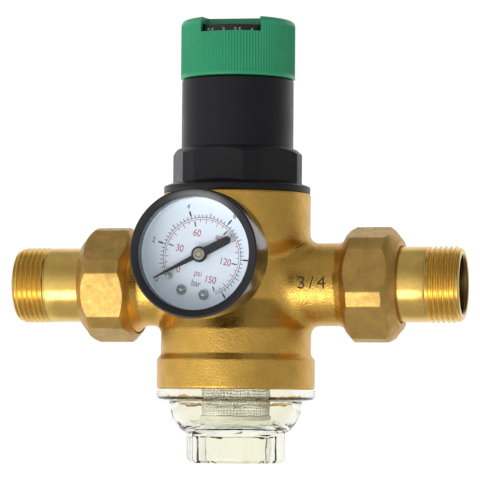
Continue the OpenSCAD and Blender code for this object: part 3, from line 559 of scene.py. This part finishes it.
def body_distance(p):
    """Signed distance to the casting, for points about the body's axis."""
    radial = np.hypot(p[:, 0], p[:, 1])
    d = outline_distance(np.stack([radial, p[:, 2]], 1), HOUSING)
    pipe_radial = np.hypot(p[:, 1], p[:, 2])
    for side in (-1, 1):
        along = side * (p[:, 0] - BRANCH_SHIFT)
        d = smooth_min(d, outline_distance(np.stack([pipe_radial, along], 1), BRANCH), 4.5)
    port_radial = np.hypot(p[:, 0], p[:, 2] - PORT_Z)
    for side in (-1, 1):
        d = smooth_min(d, outline_distance(np.stack([port_radial, side * p[:, 1]], 1), PORT), 3.5)
    pipe_bore_r = 9.5
    port_bore_r = 6.6
    hollows = [
        bore(p, 2, 22.4, 26.5, SEAT_Z + 2),  # socket of the diaphragm and bonnet
        bore(p, 2, 18, 4, 27),  # outlet chamber
        bore(p, 2, 11, -14, 5),  # bore of the valve insert
        bore(p, 2, 20, -26, -13),  # filter chamber
        bore(p, 2, 23.5, BODY_BOTTOM - 2, -25.2),  # socket of the bowl
        bore(p, 0, pipe_bore_r, -49 + BRANCH_SHIFT, -24 + BRANCH_SHIFT),
        bore(p, 0, pipe_bore_r, 13 + BRANCH_SHIFT, 49 + BRANCH_SHIFT),
        bore(p, 1, port_bore_r, -31, -14, (0, PORT_Z)),
        bore(p, 1, port_bore_r, 14, 31, (0, PORT_Z)),
        slanted_way(p),
    ]
    for hollow in hollows:
        d = np.maximum(d, -hollow)
    return d


def slanted_way(p):
    """The sloping way from the inlet bore down into the filter chamber."""
    start = np.array([-23.0, 0, -1])
    end = np.array([-15.0, 0, -16])
    way_r = 6
    way = unit(end - start)
    level = (p - start) @ way
    radial = np.linalg.norm((p - start) - level[:, None] * way, axis=1) - way_r
    length = np.linalg.norm(end - start)
    return capped(radial, np.abs(level - length / 2) - length / 2)


def settle(points, rounds):
    """Moves points onto the casting's surface."""
    reach = 0.02
    for _ in range(rounds):
        here = body_distance(points)
        slope = np.stack([
            (body_distance(points + step) - body_distance(points - step)) / (2 * reach)
            for step in np.eye(3) * reach
        ], 1)
        steepness = np.maximum((slope * slope).sum(1), 0.25)
        points = points - np.clip(here / steepness, -1.2, 1.2)[:, None] * slope
    return points


def relax(points, edges):
    """Moves each point halfway towards the middle of its neighbours, which evens the mesh out."""
    ends = np.concatenate([edges, edges[:, ::-1]])
    count = np.bincount(ends[:, 0], minlength=len(points))
    total = np.stack([
        np.bincount(ends[:, 0], weights=points[ends[:, 1], axis], minlength=len(points)) for axis in range(3)
    ], 1)
    return (points + total / count[:, None]) / 2


def build_body():
    source = frame["nodes"]["valve_body"]
    obj = bpy.data.objects.new("body_casting", source.data.copy())
    bpy.context.collection.objects.link(obj)
    step = obj.modifiers.new("skin", "REMESH")
    step.mode = "VOXEL"
    step.voxel_size = 0.46 * MM
    apply_modifiers(obj)
    mesh = obj.data
    flat = np.empty(len(mesh.vertices) * 3)
    mesh.vertices.foreach_get("co", flat)
    points = flat.reshape(-1, 3) / MM - (AXIS_X, 0, 0)
    points = settle(points, 2)
    edges = np.array([edge.vertices for edge in mesh.edges])
    for _ in range(2):
        points = settle(relax(points, edges), 1)
    mesh.vertices.foreach_set("co", ((points + (AXIS_X, 0, 0)) * MM).ravel())
    mesh.update()
    cut(obj, size_mark("mark_cutter", MARK_FLOOR, 20), smooth=50)
    even = obj.modifiers.new("even", "WEIGHTED_NORMAL")
    even.keep_sharp = True
    stand_for(obj, "valve_body")
    # A dark layer on the floor of the size mark's engraving is painted shade in its recess.
    trim_for(size_mark("size_mark", MARK_FLOOR - 0.1, MARK_FLOOR + 0.08), "valve_body", MARK_SHADE)


def lettering(text, size, place, depth=0.04, spacing=1.0):
    """Text as a thin solid, centred, in millimetres. place puts its middle and its plane."""
    curve = bpy.data.curves.new("text", "FONT")
    curve.body = text
    curve.size = size
    curve.align_x = "CENTER"
    curve.align_y = "CENTER"
    curve.extrude = depth / 2
    curve.space_character = spacing
    obj = bpy.data.objects.new("text", curve)
    bpy.context.collection.objects.link(obj)
    graph = bpy.context.evaluated_depsgraph_get()
    mesh = bpy.data.meshes.new_from_object(obj.evaluated_get(graph))
    bpy.data.objects.remove(obj)
    points = np.array([v.co for v in mesh.vertices])
    faces = [tuple(f.vertices) for f in mesh.polygons]
    bpy.data.meshes.remove(mesh)
    rows = np.array(place)
    return points @ rows[:3, :3].T + rows[:3, 3], faces


def size_mark(name, near, far):
    """The generic 3/4 size mark as a solid between two distances in front of the pipe axis."""
    height, spacing = 6.2, 1.35
    turn = Matrix.Rotation(math.radians(90), 4, "X")
    place = Matrix.Translation((MARK_PLACE, -(near + far) / 2, 0)) @ turn
    return mesh_object(name, *lettering("3/4", height, place, far - near, spacing), smooth=20)


build_body()


# ---------- bonnet and cap

def build_bonnet():
    corner_r = 22.9
    flange_r = 25.5
    tower_r = 19.5
    grip_top = 46.9
    step_z = 71.2
    corners = grip_corners(BONNET_FLAT)
    angles = grip_angles(corners)
    flat = grip_radius(angles, corner_r, corners, 0.08)
    cone_z = 34.0 + 1.3 * (flange_r - flat) / 3.5
    shoulder_z = grip_top - 2.7 + 2.7 * (corner_r + 1 - flat) / 3.2
    rows = [(18.8, 29.2, 0), (22.2, 29.2, 0.2), (22.2, SEAT_Z, 0), (flange_r, SEAT_Z, 0.3),
            (flange_r, 34, 0.5), (flat, cone_z, 0.5), (flat, shoulder_z, 0.35), (20.9, grip_top, 0.5),
            (tower_r, grip_top, 0.8), (tower_r, step_z, 0.6), (18, step_z, 0.2), (18, 80, 0.3),
            (14.4, 80, 0.2), (14.4, 83, 0.3), (12, 83, 0.3), (12, 80, 0.2), (5.0, 80, 0.1), (5.0, 76, 0.1),
            (16, 76, 0.4), (16, 39, 0.3), (17.2, 39, 0.3), (17.2, 32.5, 0.2), (18.8, 32.5, 0.2)]
    bonnet = mesh_object("bonnet_moulding", *revolve(rounded_per_angle(rows, angles), angles), smooth=50)
    keyway = prism("keyway", [(-17.6, -2.2), (17.6, -2.2), (17.6, 2.2), (-17.6, 2.2)], 50, 74)
    cut(bonnet, keyway, smooth=50)
    stand_for(bonnet, "spring_bonnet")


build_bonnet()


def build_cap():
    cap_r = 20.0
    skirt_r = 18.35
    rim_z, top_z = levels_of("adjusting_cap")
    plate = 2.3
    ribs = 120
    per_rib = 10
    angles = even_angles(ribs * per_rib)
    wave = 0.5 + 0.5 * np.cos(np.radians(angles * ribs))
    groove = 0.32 * (1 - wave**1.5)
    inner = cap_r - 0.05
    rows = [(skirt_r, rim_z), (cap_r - 0.3, rim_z), (cap_r, rim_z + 0.3), (cap_r, rim_z + 0.9),
            (inner - 0.25 * groove, rim_z + 1.2), (inner - groove, rim_z + 2.0), (inner - groove, rim_z + 8),
            (inner - groove, top_z - 3.0), (inner - 0.5 * groove, top_z - 2.0)]
    rows += arc((cap_r - 1.7, top_z - 1.6), 1.6, 5, 90, 8)
    rows += [(6, top_z), (0, top_z), (0, 81.6), (6.6, 81.6), (7, 82), (7, top_z - plate),
             (skirt_r - 0.6, top_z - plate), (skirt_r, top_z - plate - 0.6)]
    cap = mesh_object("cap_moulding", *revolve(per_angle(rows, angles), angles), smooth=60)
    front, back = 11.45, 8.8
    window = [(9.5, -back), (21.5, -front), (21.5, front), (9.5, back)]
    window = turned(SCALE_TURN, rounded(window, [0.4, 0, 0, 0.4], 3))
    window = prism("window", window, top_z - 5.3, top_z + 2)
    hexagon = prism("socket", circle(4.1 / math.cos(math.radians(30)), 6), 80.5, 89.4)
    screw_way = prism("screw_way", circle(2.1), 88, top_z + 1)
    seat = prism("screw_seat", circle(4.4), top_z - 1.6, top_z + 1)
    cut(cap, window, hexagon, screw_way, seat, smooth=50)
    stand_for(cap, "adjusting_cap")


build_cap()


def build_scale_ring():
    """The ring with a figure and a dash for each value of the setting."""
    ring_r = 17.6
    low, high = levels_of("scale_ring")
    outline = rounded([(14.5, low), (ring_r, low), (ring_r, high), (14.5, high)], 0.3)
    ring = turning("scale_ring_moulding", outline, 144)
    stand_for(ring, "scale_ring")
    figures = []
    for i, value in enumerate(("1.5", "2", "2.5", "3", "3.5", "4", "4.5", "5", "5.5", "6")):
        angle = math.radians(SCALE_TURN + (i - 3.5) * 16)
        spin = Matrix.Rotation(angle, 4, "Z") @ Matrix.Translation((ring_r, 0, high - 2.2))
        stand = Matrix.Rotation(math.radians(90), 4, "Z") @ Matrix.Rotation(math.radians(90), 4, "X")
        figures.append(lettering(value, 2.3, spin @ stand, 0.06))
        dash = [(-0.12, -2.9), (0.12, -2.9), (0.12, -1.5), (-0.12, -1.5)]
        dash = [(spin @ stand) @ Vector((x, y, z)) for z in (-0.02, 0.03) for x, y in dash]
        figures.append((dash, BOX_FACES))
    trim_for(mesh_object("scale_figures", *join(figures), smooth=20), "scale_ring", PRINT_WHITE)


build_scale_ring()


# ---------- clear bowl

def build_bowl():
    """A rim, a curved wall that falls inwards and a six-sided grip below it, hollow from the top."""
    bottom, top = levels_of("filter_bowl")
    rim_top = BODY_BOTTOM - 0.3
    rim_r = 27.5
    corner_r = 18.7
    corners = 50.4 + 60 * np.arange(6)
    angles = grip_angles(corners)
    flat = grip_radius(angles, corner_r, corners, 0.35)
    side = np.array([(23.3, rim_top - 3.9)] + arc((11.2, -41.5), 11.75, -7, -62, 12))
    falling_r, falling_z = side[:, 0], side[:, 1]
    rows = [(20, top), (23.1, top), (23.1, rim_top), (rim_r, rim_top), (rim_r, rim_top - 2.4),
            (rim_r - 0.8, rim_top - 3.2)]
    for r in falling_r:
        clipped = np.maximum(r, flat)
        rows.append((clipped, np.interp(-clipped, -falling_r, falling_z)))
    rows += [(flat, -59.4), (flat - 0.35, -60.8), (flat - 1.5, bottom)]
    rows += [(12.9, bottom), (12.6, bottom + 0.4), (12.6, -52.9), (12.2, -52.5), (0, -52.5), (0, -49)]
    rows += arc((14, -43), 6, -90, 0, 10)
    bowl = mesh_object("bowl_moulding", *revolve(per_angle(rows, angles), angles), smooth=28)
    stand_for(bowl, "filter_bowl")


build_bowl()


def tube(line, wire_r, sides, closed=False, flatten=1.0):
    """Points and faces of a wire along a line of points around the axis. flatten widens it along the axis."""
    line = np.asarray(line, float)
    out = unit(line * (1, 1, 0))
    ahead = unit(np.roll(line, -1, 0) - line) if closed else unit(np.gradient(line, axis=0))
    across = unit(np.cross(ahead, out))
    turns = [2 * math.pi * k / sides for k in range(sides)]
    rings = [line + wire_r * (math.cos(a) * out + flatten * math.sin(a) * across) for a in turns]
    count = len(line)
    faces = []
    for i in range(count if closed else count - 1):
        for k in range(sides):
            j, n = (k + 1) % sides, (i + 1) % count
            faces.append((i * sides + k, i * sides + j, n * sides + j, n * sides + k))
    if not closed:
        faces += [tuple(range(sides)), tuple((count - 1) * sides + k for k in range(sides))]
    return np.stack(rings, 1).reshape(-1, 3), faces


def build_filter():
    """A sleeve woven from upright wires and rings, so that light shows through it."""
    low, high = box_mm("filter_mesh")
    mesh_r = (high[0] - low[0]) / 2
    wire_r = 0.12
    sides = 5
    uprights = 72
    pitch = 2 * math.pi * mesh_r / uprights
    levels = np.arange(low[2] + wire_r, high[2], pitch)
    middle_r = mesh_r - 2 * wire_r
    wires = []
    for i in range(uprights):
        weave = middle_r + wire_r * 0.9 * np.cos(np.pi * (np.arange(len(levels)) + i))
        wires.append(tube(around(weave, 2 * math.pi * i / uprights, levels), wire_r, sides))
    turns = np.linspace(0, 2 * math.pi, uprights * 2, endpoint=False)
    for i, level in enumerate(levels):
        weave = middle_r - wire_r * 0.9 * np.cos(turns * uprights / 2 + np.pi * i)
        wires.append(tube(around(weave, turns, level), wire_r, sides, closed=True))
    stand_for(mesh_object("filter_weave", *join(wires), smooth=60, weld=0.0005), "filter_mesh")


build_filter()


# ---------- union nuts and tailpieces

def build_nut(side, node):
    """A twelve-sided nut with a coned inner end and a domed outer end."""
    corner_r = 20.1
    inner_z, outer_z = 37.4, 56.1
    shoulder = 53.1
    mouth_r = 16.95
    dome_r = 18.8
    face_r = 15.6
    corners = grip_corners(90 + NUT_FLAT)
    angles = grip_angles(corners)
    flat = grip_radius(angles, corner_r, corners, 0.07)
    start_z = inner_z + 3.6 * (flat - mouth_r - 0.2) / (corner_r + 1 - mouth_r - 0.2)
    dome_z = outer_z - 2.6
    end_z = dome_z - 3 * (flat - dome_r) / (corner_r + 1 - dome_r)
    dome = np.minimum(flat - 0.15, dome_r)
    rows = [(mouth_r, inner_z + 0.4, 0.1), (mouth_r + 0.2, inner_z, 0.15), (flat, start_z, 0.5),
            (flat, end_z, 0.5), (dome, dome_z, 0.8), (face_r, outer_z, 0.5), (13.3, outer_z, 0.3),
            (13.3, shoulder, 0.1), (mouth_r, shoulder, 0.2)]
    outline = rounded_per_angle(rows, angles)
    nut = mesh_object(node + "_forging", *revolve(outline, angles), along_pipe(side), smooth=50)
    stand_for(nut, node)


build_nut(-1, "inlet_union_nut")
build_nut(1, "outlet_union_nut")


def build_tailpiece(side, node):
    """A flanged tube whose end has a helical thread that fades in at its start."""
    end = abs(box_mm(node)[0 if side < 0 else 1][0] - BRANCH_MIDDLE)
    thread_length = 12.3
    start = end - thread_length
    major_r, shank_r, bore_r = 13.2, 13.0, 10.0
    depth = 1.1
    mouth_r = major_r - 1.5
    samples = 12
    angles = even_angles(180)
    turns = thread_length / PIPE_PITCH
    steps = np.arange(int((turns + 2) * samples) + 1) / samples
    phase = np.abs(2 * (steps % 1) - 1)
    form = np.clip((phase - 0.12) / 0.76, 0, 1)
    form = form * form * (3 - 2 * form) * 0.6 + form * 0.4
    rows = [(bore_r, 49.5), (15.6, 49.5), (15.9, 49.8), (15.9, 52.5), (15.6, 52.8), (13.3, 52.8),
            (shank_r, 53.1), (shank_r, 56), (shank_r, start - 2 * PIPE_PITCH)]
    for step, ridge in zip(steps, form):
        level = (step - 1 + angles / 360) * PIPE_PITCH
        level = np.clip(level, 0, thread_length)
        fade = np.clip(level / (0.9 * PIPE_PITCH), 0, 1)
        root = shank_r * (1 - fade) + (major_r - depth) * fade
        crest = shank_r * (1 - fade) + major_r * fade
        radius = root + (crest - root) * ridge
        limit = mouth_r + np.sqrt(np.maximum(thread_length - level, 0)) * 0.95
        radius = np.where(level >= thread_length, mouth_r, np.minimum(radius, limit))
        rows.append((radius, start + level))
    rows += [(11.3, end), (10.6, end - 0.05), (10.2, end - 0.35), (bore_r, end - 1.2)]
    outline = per_angle(rows, angles)
    tail = mesh_object(node + "_turning", *revolve(outline, angles), along_pipe(side), smooth=50)
    stand_for(tail, node)


build_tailpiece(-1, "inlet_tailpiece")
build_tailpiece(1, "outlet_tailpiece")


# ---------- gauge

def build_gauge_shell():
    """Case, two pegs that carry the dial, bezel and lens."""
    wall_r = 21.2
    case_back = 42.0
    case = [(6.95, case_back)] + arc((wall_r - 2.5, case_back + 2.5), 2.5, -90, 0, 10)
    case += [(wall_r, 53.3), (wall_r - 0.2, 53.5), (20.4, 53.5), (20.4, LENS_BACK), (19.5, LENS_BACK),
             (19.5, case_back + 3.2), (18.2, case_back + 1.9), (6.95, case_back + 1.9)]
    shell = turning("gauge_case_pressing", case, 192, GAUGE, smooth=30)
    peg = rounded([(0.8, case_back + 1.5), (1.6, case_back + 1.5), (1.6, 50.4), (0.8, 50.4)], 0.1)
    for angle in DIAL_FIXINGS:
        place = GAUGE @ Matrix.Translation((*on_dial(angle, FIXING_R), 0))
        trim_for(turning("gauge_peg", peg, 32, place), "gauge_case")
    stand_for(shell, "gauge_case")
    bezel_r = 21.5
    window_r = 18.5
    front = 62.0
    bezel = [(20.45, 53.6), (bezel_r - 0.25, 53.6), (bezel_r, 53.85), (bezel_r, front - 0.6)]
    bezel += arc((bezel_r - 0.6, front - 0.6), 0.6, 10, 96, 6)
    bezel += arc((bezel_r + 1.84, front - 11.74), 12, 102, 113, 6)
    bezel += [(window_r + 0.2, front - 0.8), (window_r, LENS_FRONT), (20.45, LENS_FRONT)]
    bezel = turning("gauge_bezel_ring", bezel, 192, GAUGE, smooth=40)
    stand_for(bezel, "gauge_bezel")
    lens = [(0, LENS_BACK), (20.3, LENS_BACK), (20.3, LENS_FRONT), (0, LENS_FRONT)]
    lens = turning("gauge_lens_glass", rounded(lens, [0, 0.15, 0.15, 0], 2), 192, GAUGE, smooth=30)
    stand_for(lens, "gauge_lens")


build_gauge_shell()


def build_dial():
    """A shallow white cup whose wall reaches the lens."""
    cup_r = 19.2
    cup_top = LENS_BACK - 0.2
    cup = [(2.2, DIAL_BACK), (cup_r - 1.0, DIAL_BACK)] + arc((cup_r - 1.0, DIAL_BACK + 1.0), 1.0, -80, 0, 5)
    cup += [(cup_r, cup_top), (cup_r - 0.6, cup_top)]
    cup += arc((cup_r - 1.4, DIAL_FRONT + 0.8), 0.8, 0, -85, 5) + [(2.2, DIAL_FRONT)]
    stand_for(turning("dial_cup", cup, 160, GAUGE, smooth=40), "gauge_dial")


build_dial()


PRINT_LEVELS = (DIAL_FRONT - 0.02, DIAL_FRONT + 0.03)


def stroke(angle, inner, outer, width):
    a = math.radians(angle)
    along = np.array([math.cos(a), math.sin(a)])
    across = np.array([-math.sin(a), math.cos(a)]) * width / 2
    flat = [along * inner - across, along * outer - across, along * outer + across, along * inner + across]
    return [(*xy, z) for z in PRINT_LEVELS for xy in flat], BOX_FACES


def printed_ring(first, last, radius, width):
    count = 120
    turns = np.radians(np.linspace(first, last, count + 1))
    edges = (radius - width / 2, radius + width / 2)
    circles = [around(edge, turns, level) for level in PRINT_LEVELS for edge in edges]
    low_in, low_out, high_in, high_out = [k * (count + 1) for k in range(4)]
    skin = []
    for i in range(count):
        for a, b in ((low_out, low_in), (high_in, high_out), (low_in, high_in), (high_out, low_out)):
            skin.append((a + i, b + i, b + i + 1, a + i + 1))
    skin.append((low_in, low_out, high_out, high_in))
    skin.append((low_in + count, high_in + count, high_out + count, low_out + count))
    return np.concatenate(circles), skin


def label(text, angle, radius, size):
    place = Matrix.Translation((*on_dial(angle, radius), DIAL_FRONT + 0.005))
    turn = Matrix.Rotation(math.radians(DIAL_TURN), 4, "Z") @ Matrix.Diagonal((0.82, 1, 1, 1))
    return lettering(text, size, place @ turn)


def print_layer(name, marks, material):
    place = GAUGE @ Matrix.Translation(PRINT_SHIFT)
    trim_for(mesh_object(name, *join(marks), place, smooth=20), "gauge_dial", material)


def print_dial():
    """Bar scale outside a double ring and psi scale inside it. Zero is compressed against the stop."""
    bar_step = 27.5
    psi_step = bar_step / 14.504
    ten_bar = -59.5
    zero_psi = ten_bar + 10 * bar_step
    scale_start = 204.5
    ring_r = 12.35

    def bar_angle(value):
        return ten_bar + (10 - value) * bar_step

    def psi_angle(value):
        return zero_psi - value * psi_step

    black = [printed_ring(psi_angle(150), scale_start, ring_r + 0.3, 0.15)]
    for fifth in range(2, 51):
        value = fifth / 5
        if fifth % 10 == 0:
            black.append(stroke(bar_angle(value), ring_r + 1.2, ring_r + 2.8, 0.5))
            black.append(stroke(bar_angle(value), ring_r + 0.3, ring_r + 1.2, 0.22))
        else:
            outer = ring_r + (1.75 if fifth % 5 == 0 else 1.2)
            black.append(stroke(bar_angle(value), ring_r + 0.3, outer, 0.21))
    black += [label(str(value), bar_angle(value), 16.7, 2.6) for value in (2, 4, 6, 8, 10)]
    black.append(label("0", POINTER_ANGLE - 1, 16.3, 2.6))
    for value in range(30, 151, 30):
        black.append(stroke(psi_angle(value), ring_r - 2.4, ring_r - 0.7, 0.36))
    black.append(label("bar", 270 + DIAL_TURN, 8.6, 2.9))
    print_layer("dial_print_black", black, PRINT_BLACK)

    red = [printed_ring(psi_angle(150), scale_start, ring_r - 0.3, 0.15)]
    for value in range(5, 150, 5):
        if value % 30:
            inner = ring_r - (1.6 if value % 10 == 0 else 1.1)
            red.append(stroke(psi_angle(value), inner, ring_r - 0.3, 0.18))
    red += [label(str(value), psi_angle(value), 7.8, 3.2) for value in (30, 60, 90, 120, 150)]
    red.append(label("0", 207, 8.6, 3.2))
    red.append(label("psi", 270 + DIAL_TURN, 5.3, 2.9))
    print_layer("dial_print_crimson", red, PRINT_RED)


print_dial()


def build_dial_fittings():
    """The two rivets that hold the dial, and the pointer's stop pin."""
    head = [(0, 46), (0.75, 46), (0.75, DIAL_FRONT), (1.65, DIAL_FRONT), (1.7, DIAL_FRONT + 0.2)]
    head += arc((0, DIAL_FRONT - 0.05), 1.68, 14, 90, 10)
    points, faces = revolve(head, even_angles(40))
    rivets = [(points + (*on_dial(angle, FIXING_R), 0), faces) for angle in DIAL_FIXINGS]
    rivets = mesh_object("dial_rivets", *join(rivets), GAUGE)
    stand_for(rivets, "dial_screws", MATERIALS["rivet_steel"])
    low, high = box_mm("stop_pin")
    centre = middle("stop_pin")
    pin_r = (high[0] - low[0]) / 2
    front = -low[1]
    foot_r = pin_r + 0.35
    pin = [(0, DIAL_FRONT), (foot_r, DIAL_FRONT), (foot_r, DIAL_FRONT + 1.2), (pin_r, DIAL_FRONT + 1.25),
           (pin_r, front), (0, front)]
    place = GAUGE @ Matrix.Translation((centre[0] - AXIS_X, centre[2] - PORT_Z, 0))
    pin = turning("stop_pin_turning", rounded(pin, [0, 0, 0.6, 0.05, 0.35, 0]), 32, place)
    stand_for(pin, "stop_pin", MATERIALS["rivet_steel"])


build_dial_fittings()


def build_pointer():
    """Blade with a round tail, its hub and the bush that it is pressed onto."""
    tip, tail_r, tail_end = 17.0, 1.3, 11.35
    back = 52.8
    bush_r = 1.95
    outline = [(tip, 0.17), (2.4, 0.82), (-2.4, 1.42)] + arc((tail_r - tail_end, 0), tail_r, 90, 270, 14)
    outline += [(-2.4, -1.42), (2.4, -0.82), (tip, -0.17)]
    blade = prism("pointer_blade", turned(POINTER_ANGLE, outline), back, back + 0.45, GAUGE)
    hub = [(bush_r + 0.05, back - 0.4), (2.45, back - 0.4), (2.6, back), (2.6, back + 0.8),
           (2.35, back + 1.15), (bush_r + 0.05, back + 1.2)]
    cut(blade, prism("hole", circle(bush_r + 0.02), back - 2, back + 2, GAUGE))
    rim = turning("pointer_hub", hub, 64, GAUGE)
    stand_for(blade, "gauge_pointer")
    trim_for(rim, "gauge_pointer")
    face = back + 1.35
    bush = [(0.62, back - 1.6), (bush_r, back - 1.6), (bush_r, back + 1.1), (bush_r - 0.2, face),
            (1.35, face), (1.15, back + 1.05), (0.95, face), (0.8, face), (0.62, back + 1.2)]
    bush = turning("pointer_bush_turning", bush, 48, GAUGE)
    stand_for(bush, "pointer_bush", MATERIALS["pointer_nickel"])


build_pointer()


# ---------- springs and diaphragm

def bend_with(obj, node):
    """obj takes the place of a CAD node, with that node's material, and its placement is baked into its mesh.
    """
    obj.data.materials.append(MATERIALS[SLOT_OF[node]])
    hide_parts(node)
    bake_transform(obj)


def build_range_spring():
    """Its end turns lie flat, and it stretches between the valve and the spring plate."""
    low, high = levels_of("range_spring")
    wire_r, mean_r, turns = 1.7, 11.5, 5.5
    t = np.linspace(0, 1, int(turns * 40))
    rise = np.clip((t * turns - 0.6) / (turns - 1.2), 0, 1)
    level = low + wire_r + (high - low - 2 * wire_r) * rise
    line = around(mean_r, 2 * math.pi * turns * t, level)
    spring = mesh_object("range_spring_wire", *tube(line, wire_r, 16))
    bend_with(spring, "range_spring")


build_range_spring()


def build_diaphragm():
    rim_r = 22.2
    fold_r = 15.5
    low, high = 26.5, 28
    outline = [(2.55, low), (13, low)] + arc((fold_r, low), 2.5, 180, 0, 10)
    outline += [(18, low), (rim_r, low), (rim_r, high), (18.4, high)] + arc((fold_r, 27.6), 2.9, 8, 172, 12)
    outline += [(12.6, high), (2.55, high)]
    sheet = turning("diaphragm_rubber", outline, 120)
    bend_with(sheet, "diaphragm")


build_diaphragm()


def build_hair_spring():
    """A flat spiral of thin strip."""
    turns, inner_r, pitch = 4, 0.9, 0.6
    a = np.linspace(0, 2 * math.pi * turns, turns * 48)
    r = inner_r + pitch * a / (2 * math.pi)
    spiral = mesh_object("hair_spring_strip", *tube(around(r, a, 46.5), 0.07, 6, flatten=2.6), GAUGE)
    bend_with(spiral, "hair_spring")


build_hair_spring()


# ---------- CAD nodes that stay

def soften(node, width):
    """Welds a CAD node's mesh and rounds its edges by modifiers, which leave the mesh itself as it is."""
    obj = frame["nodes"][node]
    weld = obj.modifiers.new("weld", "WELD")
    weld.merge_threshold = 0.002 * MM
    bevel = obj.modifiers.new("edges", "BEVEL")
    bevel.width = width * MM
    bevel.segments = 2
    bevel.limit_method = "ANGLE"
    bevel.angle_limit = math.radians(30)


soften("rear_port_plug", 0.25)
for node, obj in frame["nodes"].items():
    if obj.hide_render:
        continue
    obj.data.materials.clear()
    obj.data.materials.append(MATERIALS[SLOT_OF[node]])


# ---------- floor, light and camera

def build_floor():
    """A pale round floor below the valve, which hangs in its pipe. A faint glow keeps it pale."""
    radius = 1100
    top, bottom = -112, -118
    floor = turning("floor", [(0, top), (radius, top), (radius, bottom), (0, bottom)], 96)
    material, tree, shader = new_material("floor_pale")
    tone = blend_colours(tree, grain(tree, 60), (0.86, 0.86, 0.86), (0.9, 0.9, 0.9))
    tree.links.new(tone, shader.inputs["Base Color"])
    shader.inputs["Roughness"].default_value = 0.8
    shader.inputs["Emission Color"].default_value = (1, 1, 1, 1)
    shader.inputs["Emission Strength"].default_value = 0.25
    floor.data.materials.append(material)
    floor.visible_glossy = False
    floor.visible_transmission = False
    floor.visible_shadow = False


build_floor()


def profile(tree, value, stops):
    """A soft curve of light strength through (value, strength) stops, for values from -1 to 1."""
    curve = add(tree, "ValToRGB", {"Fac": spread(tree, value, 0, 1, -1, 1)})
    ramp = curve.color_ramp
    ramp.interpolation = "B_SPLINE"
    strongest = max(strength for _, strength in stops)
    while len(ramp.elements) < len(stops):
        ramp.elements.new(0.5)
    for element, (place, strength) in zip(ramp.elements, stops):
        element.position = (place + 1) / 2
        element.color = (*[strength / strongest] * 3, 1)
    return calculate(tree, "MULTIPLY", curve.outputs[0], strongest)


def hump(tree, value, centre, half_width):
    """1 at the centre, falling softly to 0 at half_width either side."""
    away = calculate(tree, "ABSOLUTE", calculate(tree, "SUBTRACT", value, centre))
    return spread(tree, away, 0, 1, half_width, 0, "SMOOTHSTEP")


def build_world():
    """Studio light by direction: a key low on the left, dim above, white behind the valve."""
    key_strength = 5.5
    backdrop = 1.05
    world = bpy.data.worlds.new("studio")
    bpy.context.scene.world = world
    world.use_nodes = True
    tree = world.node_tree
    tree.nodes.clear()
    coords = add(tree, "TexCoord")
    parts = add(tree, "SeparateXYZ", {"Vector": coords.outputs["Generated"]})
    across, inward, upward = (parts.outputs[axis] for axis in "XYZ")
    heights = ((-1, 0.5), (-0.8, 0.62), (-0.3, 1.15), (0, 1.0), (0.35, 0.58), (0.75, 0.34), (1, 0.5))
    sides = ((-1, 0.9), (-0.7, 1.1), (-0.35, 1.05), (0.2, 0.8), (0.6, 0.62), (1, 0.5))
    front = calculate(tree, "MULTIPLY", profile(tree, upward, heights), profile(tree, across, sides))
    rear = spread(tree, inward, 0, 1, 0.35, 0.85, "SMOOTHSTEP")
    room = add(tree, "Mix", {"Factor": rear, "A": front, "B": 1.0}, data_type="FLOAT")
    key = calculate(tree, "MULTIPLY", hump(tree, upward, -0.52, 0.27), hump(tree, across, -0.38, 0.55))
    key = calculate(tree, "MULTIPLY", key, hump(tree, inward, -0.85, 0.7))
    level = calculate(tree, "MULTIPLY_ADD", key, key_strength, room.outputs[0])
    seen = {"Factor": add(tree, "LightPath").outputs["Is Camera Ray"], "A": level, "B": backdrop}
    seen = add(tree, "Mix", seen, data_type="FLOAT")
    light = add(tree, "Background", {"Color": (1, 1, 1, 1), "Strength": seen.outputs[0]})
    output = add(tree, "OutputWorld")
    tree.links.new(light.outputs[0], output.inputs["Surface"])


build_world()


def build_camera():
    """Angles in degrees and lengths in millimetres, about the body's axis at the pipe's level."""
    azimuth, yaw, pitch, roll = (math.radians(v) for v in (13.429, -0.064, 3.142, 0.416))
    distance, height = 986.6, -38.5
    focal_share = 5.9076
    camera = bpy.data.cameras.new("camera")
    camera.sensor_width = 36
    camera.lens = 36 * focal_share
    camera.clip_start = 0.01
    turn = Matrix.Rotation(azimuth + yaw, 4, "Z") @ Matrix.Rotation(math.radians(90) + pitch, 4, "X")
    turn = turn @ Matrix.Rotation(roll, 4, "Z")
    place = Vector((AXIS_X + distance * math.sin(azimuth), -distance * math.cos(azimuth), height)) * MM
    obj = bpy.data.objects.new("camera", camera)
    obj.matrix_world = Matrix.Translation(place) @ turn
    bpy.context.collection.objects.link(obj)
    bpy.context.scene.camera = obj


build_camera()
bpy.context.scene.view_settings.view_transform = "Standard"
